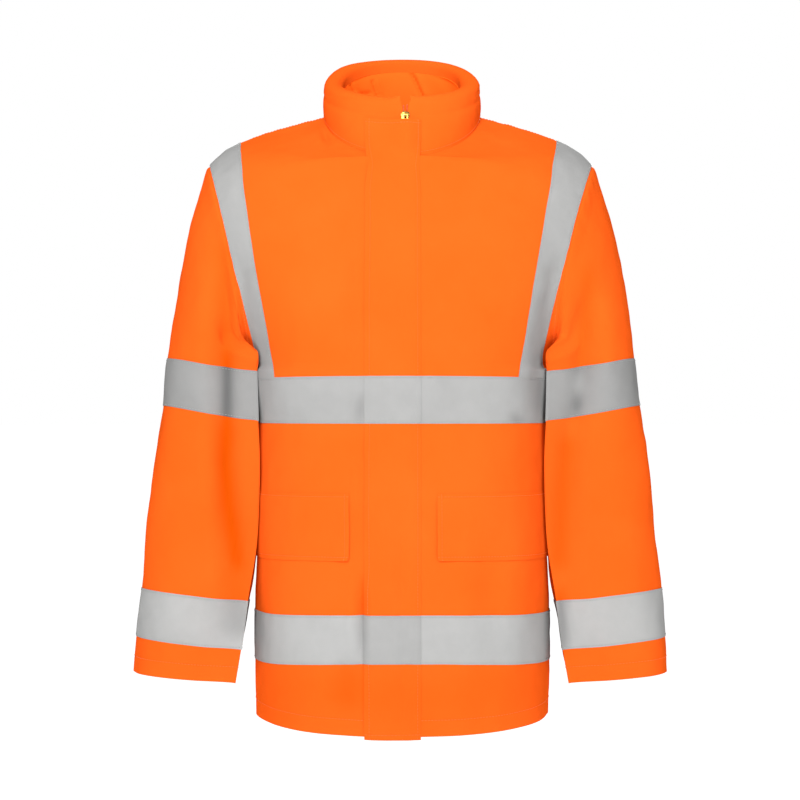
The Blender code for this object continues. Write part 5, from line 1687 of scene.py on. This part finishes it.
BANDS = (("chest", "chest_band_low", "chest_band_high"), ("hem", "hem_band_low", "hem_band_high"))
tape_lines = []
for band, low_name, high_name in BANDS:
    low_row, high_row = section(low_name, TORSO), section(high_name, TORSO)
    for side, word in SIDES:
        panel = fronts[side]
        a, b = panel.row_marks[low_row], panel.row_marks[high_row]
        points, ways = panel.points[a:b + 1], panel.normals[a:b + 1]
        add_tape(f"{band}_{word}", f"{band}_tape_{word}", points, ways, TAPES[band])
        tape_lines += tape_edges(points, ways)
    grids = []
    for half in (right, left):
        a, b = half.row_marks[low_row], half.row_marks[high_row]
        points, ways = half.points[a:b + 1], half.normals[a:b + 1]
        grids.append((points + ways * (TAPE_LIE + TAPE), points + ways * TAPE_LIE))
        tape_lines += tape_edges(points, ways)
    obj = joined_shell(f"tape_{band}_back", grids, len(grids[0][0]) - 1, TAPES[band])
    pieces[f"{band}_tape_back"] = finish_piece(obj, "silver_tape", f"{band}_tape_back")
    z_low = TORSO[low_row][1]
    z_high = TORSO[high_row][1]
    middle_z = flap_outer[:FLAP_ROWS, flap_cols // 2, 2]
    rows = np.interp([z_low, z_high], middle_z, np.arange(FLAP_ROWS))
    flap_panel = Panel(flap_outer, FORWARD, None, None)
    cols = np.linspace(FLAP_TAPE_IN, flap_cols - 1 - FLAP_TAPE_IN, FLAP_TAPE_COLS)
    row_grid, col_grid = np.meshgrid(np.linspace(*rows, FLAP_TAPE_ROWS), cols, indexing="ij")
    points, ways = flap_panel.pick(row_grid, col_grid)
    add_tape(f"{band}_flap", f"{band}_tape_flap", points, ways, TAPES["flap"])
    tape_lines += tape_edges(points, ways)

# Braces over the shoulders, and bands round the sleeves
for side, word in SIDES:
    halves = []
    for panel in (fronts[side], backs[side]):
        first = panel.row_marks[section("chest_band_high", TORSO)]
        a, b = panel.col_marks[TAPE_IN], panel.col_marks[TAPE_OUT]
        halves.append((panel.points[first:, a:b + 1], panel.normals[first:, a:b + 1]))
    (front, front_ways), (rear, rear_ways) = halves
    ridge = (front[-1] + rear[-1]) / 2
    ridge_ways = front_ways[-1] + rear_ways[-1]
    ridge_ways /= np.linalg.norm(ridge_ways, axis=1, keepdims=True)
    points = np.concatenate([front[:-1], ridge[None], rear[-2::-1]])
    ways = np.concatenate([front_ways[:-1], ridge_ways[None], rear_ways[-2::-1]])
    add_tape(f"brace_{word}", f"brace_tape_{word}", points, ways, TAPES["chest"])
    tape_lines += tape_edges(points, ways, 1)
    panel = sleeves[side]
    for level, band in (("upper", "band"), ("lower", "cuff_band")):
        a, b = [panel.row_marks[section(f"{band}_{end}", SLEEVE) + 1] for end in ("high", "low")]
        points, ways = panel.points[a:b + 1], panel.normals[a:b + 1]
        name = f"sleeve_tape_{level}_{word}"
        add_tape(f"sleeve_{level}_{word}", name, points, ways, TAPES[level], closed=True)
        tape_lines += [round_line(*line) for line in tape_edges(points, ways)]
pieces["tape_stitch"] = stitches("stitch_tapes", tape_lines, TAPE_THREAD, "silver_tape")


# Stitching on the cloth: hem, cuffs, storm flap, collar, shoulders and armholes

lines = []
for panel in (*fronts.values(), right, left):
    lines.append(inset_line(panel.points, panel.normals, 0, 0, HEM_STITCH_IN))
    upper = slice(panel.armhole, None)
    lines.append(inset_line(panel.points[upper], panel.normals[upper], -1, 1, SEAM_STITCH_IN))
for panel in sleeves.values():
    lines.append(round_line(*inset_line(panel.points, panel.normals, -1, 0, HEM_STITCH_IN)))
for half in (right, left):
    inside = slice(half.col_marks[TAPE_IN])
    lines.append(inset_line(half.points[:, inside], half.normals[:, inside], -1, 0, SEAM_STITCH_IN))
pieces["body_stitch"] = stitches("stitch_body", lines, THREAD, "orange_cloth")
lines = [
    inset_line(flap_outer, flap_ways, 0, 1, FLAP_STITCH_IN),
    inset_line(flap_outer, flap_ways, -1, 1, FLAP_STITCH_IN_FREE),
    inset_line(flap_outer, flap_ways, -1, 0, FLAP_STITCH_IN_TOP),
    inset_line(flap_outer, flap_ways, 0, 0, FLAP_STITCH_IN),
]
pieces["flap_stitch"] = stitches("stitch_storm_flap", lines, THREAD, "orange_cloth")
lines = [inset_line(collar.points, collar.normals, 0, 0, COLLAR_STITCH_IN)]
pieces["collar_stitch"] = stitches("stitch_collar", lines, THREAD, "orange_cloth")


# Zip

# The zip's cloth: half its width, how far out its outer and inner side lie, and its steps
ZIP_TAPE_HALF = 0.0068
ZIP_TAPE_OUT = (-0.0021, -0.0027)
ZIP_TAPE_STEP = 0.006
# The teeth: their pitch, how far they keep from the ends, and what the slider covers
TOOTH_PITCH = 0.0014
TEETH_FROM_END = 0.004
SLIDER_COVERS = (-0.005, 0.006)
# columns: half size across, out and along, how far out the middle lies
TOOTH_CLOSED = ((0.0015, 0.0008, 0.00048), -0.0008)
TOOTH_OPEN = ((0.0009, 0.0008, 0.00042), -0.0010)
TOOTH_CLOSED_ACROSS = 0.0007
TOOTH_STAGGER = 0.00035
TOOTH_OPEN_ACROSS = 0.0022
TOOTH_TIP = 0.75


def zip_line():
    """Points up the middle of the zip to the rim, with the way out at each."""
    places = np.linspace(0, 1, ZIP_ROWS)
    edges = [panel.pick(places * panel.neck, np.zeros(ZIP_ROWS))[0] for panel in fronts.values()]
    shares = np.linspace(0, 1, ZIP_ROWS_COLLAR + 1)[1:]
    above = [[collar_point(side, COLLAR_EDGE[side], share) for share in shares] for side in fronts]
    points = np.concatenate([sum(edges) / 2, np.sum(above, axis=0) / 2])
    points[:, 0] = ZIP_X
    along = np.gradient(points, axis=0)
    ways = np.stack([np.zeros(len(points)), -along[:, 2], along[:, 1]], axis=1)
    ways /= np.linalg.norm(ways, axis=1, keepdims=True)
    return points, ways


zip_points, zip_ways = zip_line()
zip_lengths = np.concatenate([[0.0], np.cumsum(np.linalg.norm(np.diff(zip_points, axis=0), axis=1))])
zip_total = zip_lengths[-1]
SLIDER_AT = zip_total - np.linalg.norm(zip_points[-1] - collar_point(1, COLLAR_EDGE[1], SLIDER_SHARE))


def on_zip(distance, across, out):
    """A point by its distance up the zip, across it and out from it."""
    point = np.array([np.interp(distance, zip_lengths, zip_points[:, k]) for k in range(3)])
    way = unit([np.interp(distance, zip_lengths, zip_ways[:, k]) for k in range(3)])
    return point + np.array((across, 0.0, 0.0)) + way * out


def zip_strip(start, end):
    """The zip's cloth, behind its teeth."""
    distances = np.linspace(start, end, int((end - start) / ZIP_TAPE_STEP))
    xs = np.linspace(-ZIP_TAPE_HALF, ZIP_TAPE_HALF, 5)
    layers = [np.array([[on_zip(d, x, out) for x in xs] for d in distances]) for out in ZIP_TAPE_OUT]
    return shell("zip_tape_cloth", *layers, CLOTHS)


pieces["zip_tape"] = finish_piece(zip_strip(0.001, SLIDER_AT - 0.004), "orange_cloth", "zip_tape")


def zip_teeth():
    """Coil teeth: closed below the slider, and one row on each side above it."""
    points = []
    faces = []
    offset = 0
    box = np.array([(x, o, u) for u in (-1, 1) for o in (-1, 1) for x in (-1, 1)], dtype=float)
    quads = np.array(((0, 1, 3, 2), (4, 6, 7, 5), (0, 4, 5, 1), (2, 3, 7, 6), (0, 2, 6, 4), (1, 5, 7, 3)))
    distance = TEETH_FROM_END
    number = 0
    while distance < zip_total - TEETH_FROM_END:
        above = distance - SLIDER_AT
        for side in (-1, 1):
            if above < SLIDER_COVERS[0]:
                across = side * TOOTH_CLOSED_ACROSS + (TOOTH_STAGGER if number % 2 else -TOOTH_STAGGER)
                half, out = TOOTH_CLOSED
            elif above > SLIDER_COVERS[1]:
                across = side * TOOTH_OPEN_ACROSS
                half, out = TOOTH_OPEN
            else:
                continue
            shift = 0.0 if side < 0 else TOOTH_PITCH / 2
            corners = []
            for corner in box:
                shrink = TOOTH_TIP if corner[1] > 0 else 1.0
                corners.append(on_zip(distance + shift + corner[2] * half[2] * shrink,
                                      across + corner[0] * half[0] * shrink, out + corner[1] * half[1]))
            points += corners
            faces += [quad + offset for quad in quads]
            offset += 8
        distance += TOOTH_PITCH
        number += 1
    return make_mesh("zip_teeth", points, faces, np.zeros(len(faces)), [TEETH])


pieces["zip_teeth"] = finish_piece(zip_teeth(), "orange_cloth")


# Brass: slider, pull tab and studs keep their solids' shapes, with softened edges

def softened(node_name, width):
    """A copy of a solid with its edges rounded to a width."""
    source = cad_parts[node_name]
    obj = bpy.data.objects.new(f"brass_{node_name}", source.data.copy())
    bpy.context.scene.collection.objects.link(obj)
    obj.matrix_world = source.matrix_world
    obj.data.materials.clear()
    obj.data.materials.append(BRASS)
    weld = obj.modifiers.new("weld", "WELD")
    weld.merge_threshold = 0.00001
    bevel = obj.modifiers.new("bevel", "BEVEL")
    bevel.width = width
    bevel.segments = 2
    bevel.limit_method = "ANGLE"
    bevel.angle_limit = math.radians(35)
    bpy.context.view_layer.update()
    graph = bpy.context.evaluated_depsgraph_get()
    mesh = bpy.data.meshes.new_from_object(obj.evaluated_get(graph))
    obj.modifiers.clear()
    obj.data = mesh
    mesh.polygons.foreach_set("use_smooth", np.ones(len(mesh.polygons), dtype=bool))
    mesh.set_sharp_from_angle(angle=math.radians(40))
    return obj


pieces["zip_slider"] = finish_piece(softened("zip_slider", 0.0002), "brass", "zip_slider")
pull = softened("zip_pull", 0.0002)
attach(pull, "pull")
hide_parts("zip_pull")
for number in range(1, 6):
    name = f"stud_{number}"
    pieces[name] = finish_piece(softened(name, 0.0003), "brass", name)


# Painted shade in folds, along the hem and on the sleeves' outer sides, as a value at each point

def shade_pieces():
    """Keep how much painted shade each point gets as the attribute that the materials read."""
    for view, names, path, half_width, share in SHADES:
        for name in names:
            mesh = pieces[name].data
            count = len(mesh.vertices)
            points = np.empty(count * 3)
            ways = np.empty(count * 3)
            mesh.vertices.foreach_get("co", points)
            mesh.vertices.foreach_get("normal", ways)
            points, ways = points.reshape(-1, 3), ways.reshape(-1, 3)
            nearest, along, span = path_distance(seen_from(view, points), np.array(path))
            facing = facing_share(view, ways, SHADE_FACING_LEAST)
            fade = along_fade(along, span, SHADE_TAPER)
            values = share * fade * facing * np.exp(-(nearest / half_width) ** 2)
            layer = mesh.attributes.get("shade")
            if layer is None:
                layer = mesh.attributes.new("shade", "FLOAT", "POINT")
            held = np.zeros(count)
            layer.data.foreach_get("value", held)
            layer.data.foreach_set("value", 1 - (1 - held) * (1 - values))


shade_pieces()


# Floor, lights and camera

bpy.ops.mesh.primitive_plane_add(size=160.0, location=(0.0, 0.0, -1.50))
floor = bpy.context.object
floor.name = "floor"
floor.data.materials.append(floor_material())

world = bpy.data.worlds.new("studio")
bpy.context.scene.world = world
world.use_nodes = True
tree = world.node_tree
ambient = tree.nodes["Background"]
ambient.inputs["Color"].default_value = (1.0, 1.0, 1.0, 1.0)
ambient.inputs["Strength"].default_value = AMBIENT
backdrop = node(tree, "ShaderNodeBackground", Color=(1.0, 1.0, 1.0, 1.0), Strength=1.0)
choice = node(tree, "ShaderNodeMixShader")
tree.links.new(node(tree, "ShaderNodeLightPath").outputs["Is Camera Ray"], choice.inputs["Fac"])
tree.links.new(ambient.outputs["Background"], choice.inputs[1])
tree.links.new(backdrop.outputs["Background"], choice.inputs[2])
tree.links.new(choice.outputs["Shader"], tree.nodes["World Output"].inputs["Surface"])


def soft_light(name, place, aim, size, power):
    """A rectangular light at a place that is turned to its aim."""
    data = bpy.data.lights.new(name, "AREA")
    data.shape = "RECTANGLE"
    data.size, data.size_y = size
    data.energy = power
    obj = bpy.data.objects.new(name, data)
    bpy.context.scene.collection.objects.link(obj)
    obj.location = place
    obj.rotation_euler = (Vector(aim) - Vector(place)).to_track_quat("-Z", "Y").to_euler()
    return obj


soft_light("key", (-0.45, -2.3, 0.95), (0.0, 0.0, -0.25), (1.1, 0.9), 110)
soft_light("fill", (1.5, -2.6, 0.1), (0.0, 0.0, -0.40), (1.4, 1.8), 26)
soft_light("above", (0.20, -0.20, 1.70), (0.0, 0.0, 0.0), (1.6, 1.2), 11)
soft_light("behind", (0.45, 2.3, 0.95), (0.0, 0.0, -0.25), (1.1, 0.9), 110)
soft_light("behind_fill", (-1.5, 2.6, 0.1), (0.0, 0.0, -0.40), (1.4, 1.8), 26)

camera_data = bpy.data.cameras.new("camera")
camera_data.sensor_width = SENSOR
camera_data.lens = FOCAL_PIXELS / FRAME_PIXELS * SENSOR
camera = bpy.data.objects.new("camera", camera_data)
bpy.context.scene.collection.objects.link(camera)
camera.location = CAMERA
camera.rotation_euler = (math.radians(90), 0.0, 0.0)
bpy.context.scene.camera = camera
bpy.context.scene.view_settings.view_transform = "Standard"
bpy.context.scene.view_settings.look = "None"
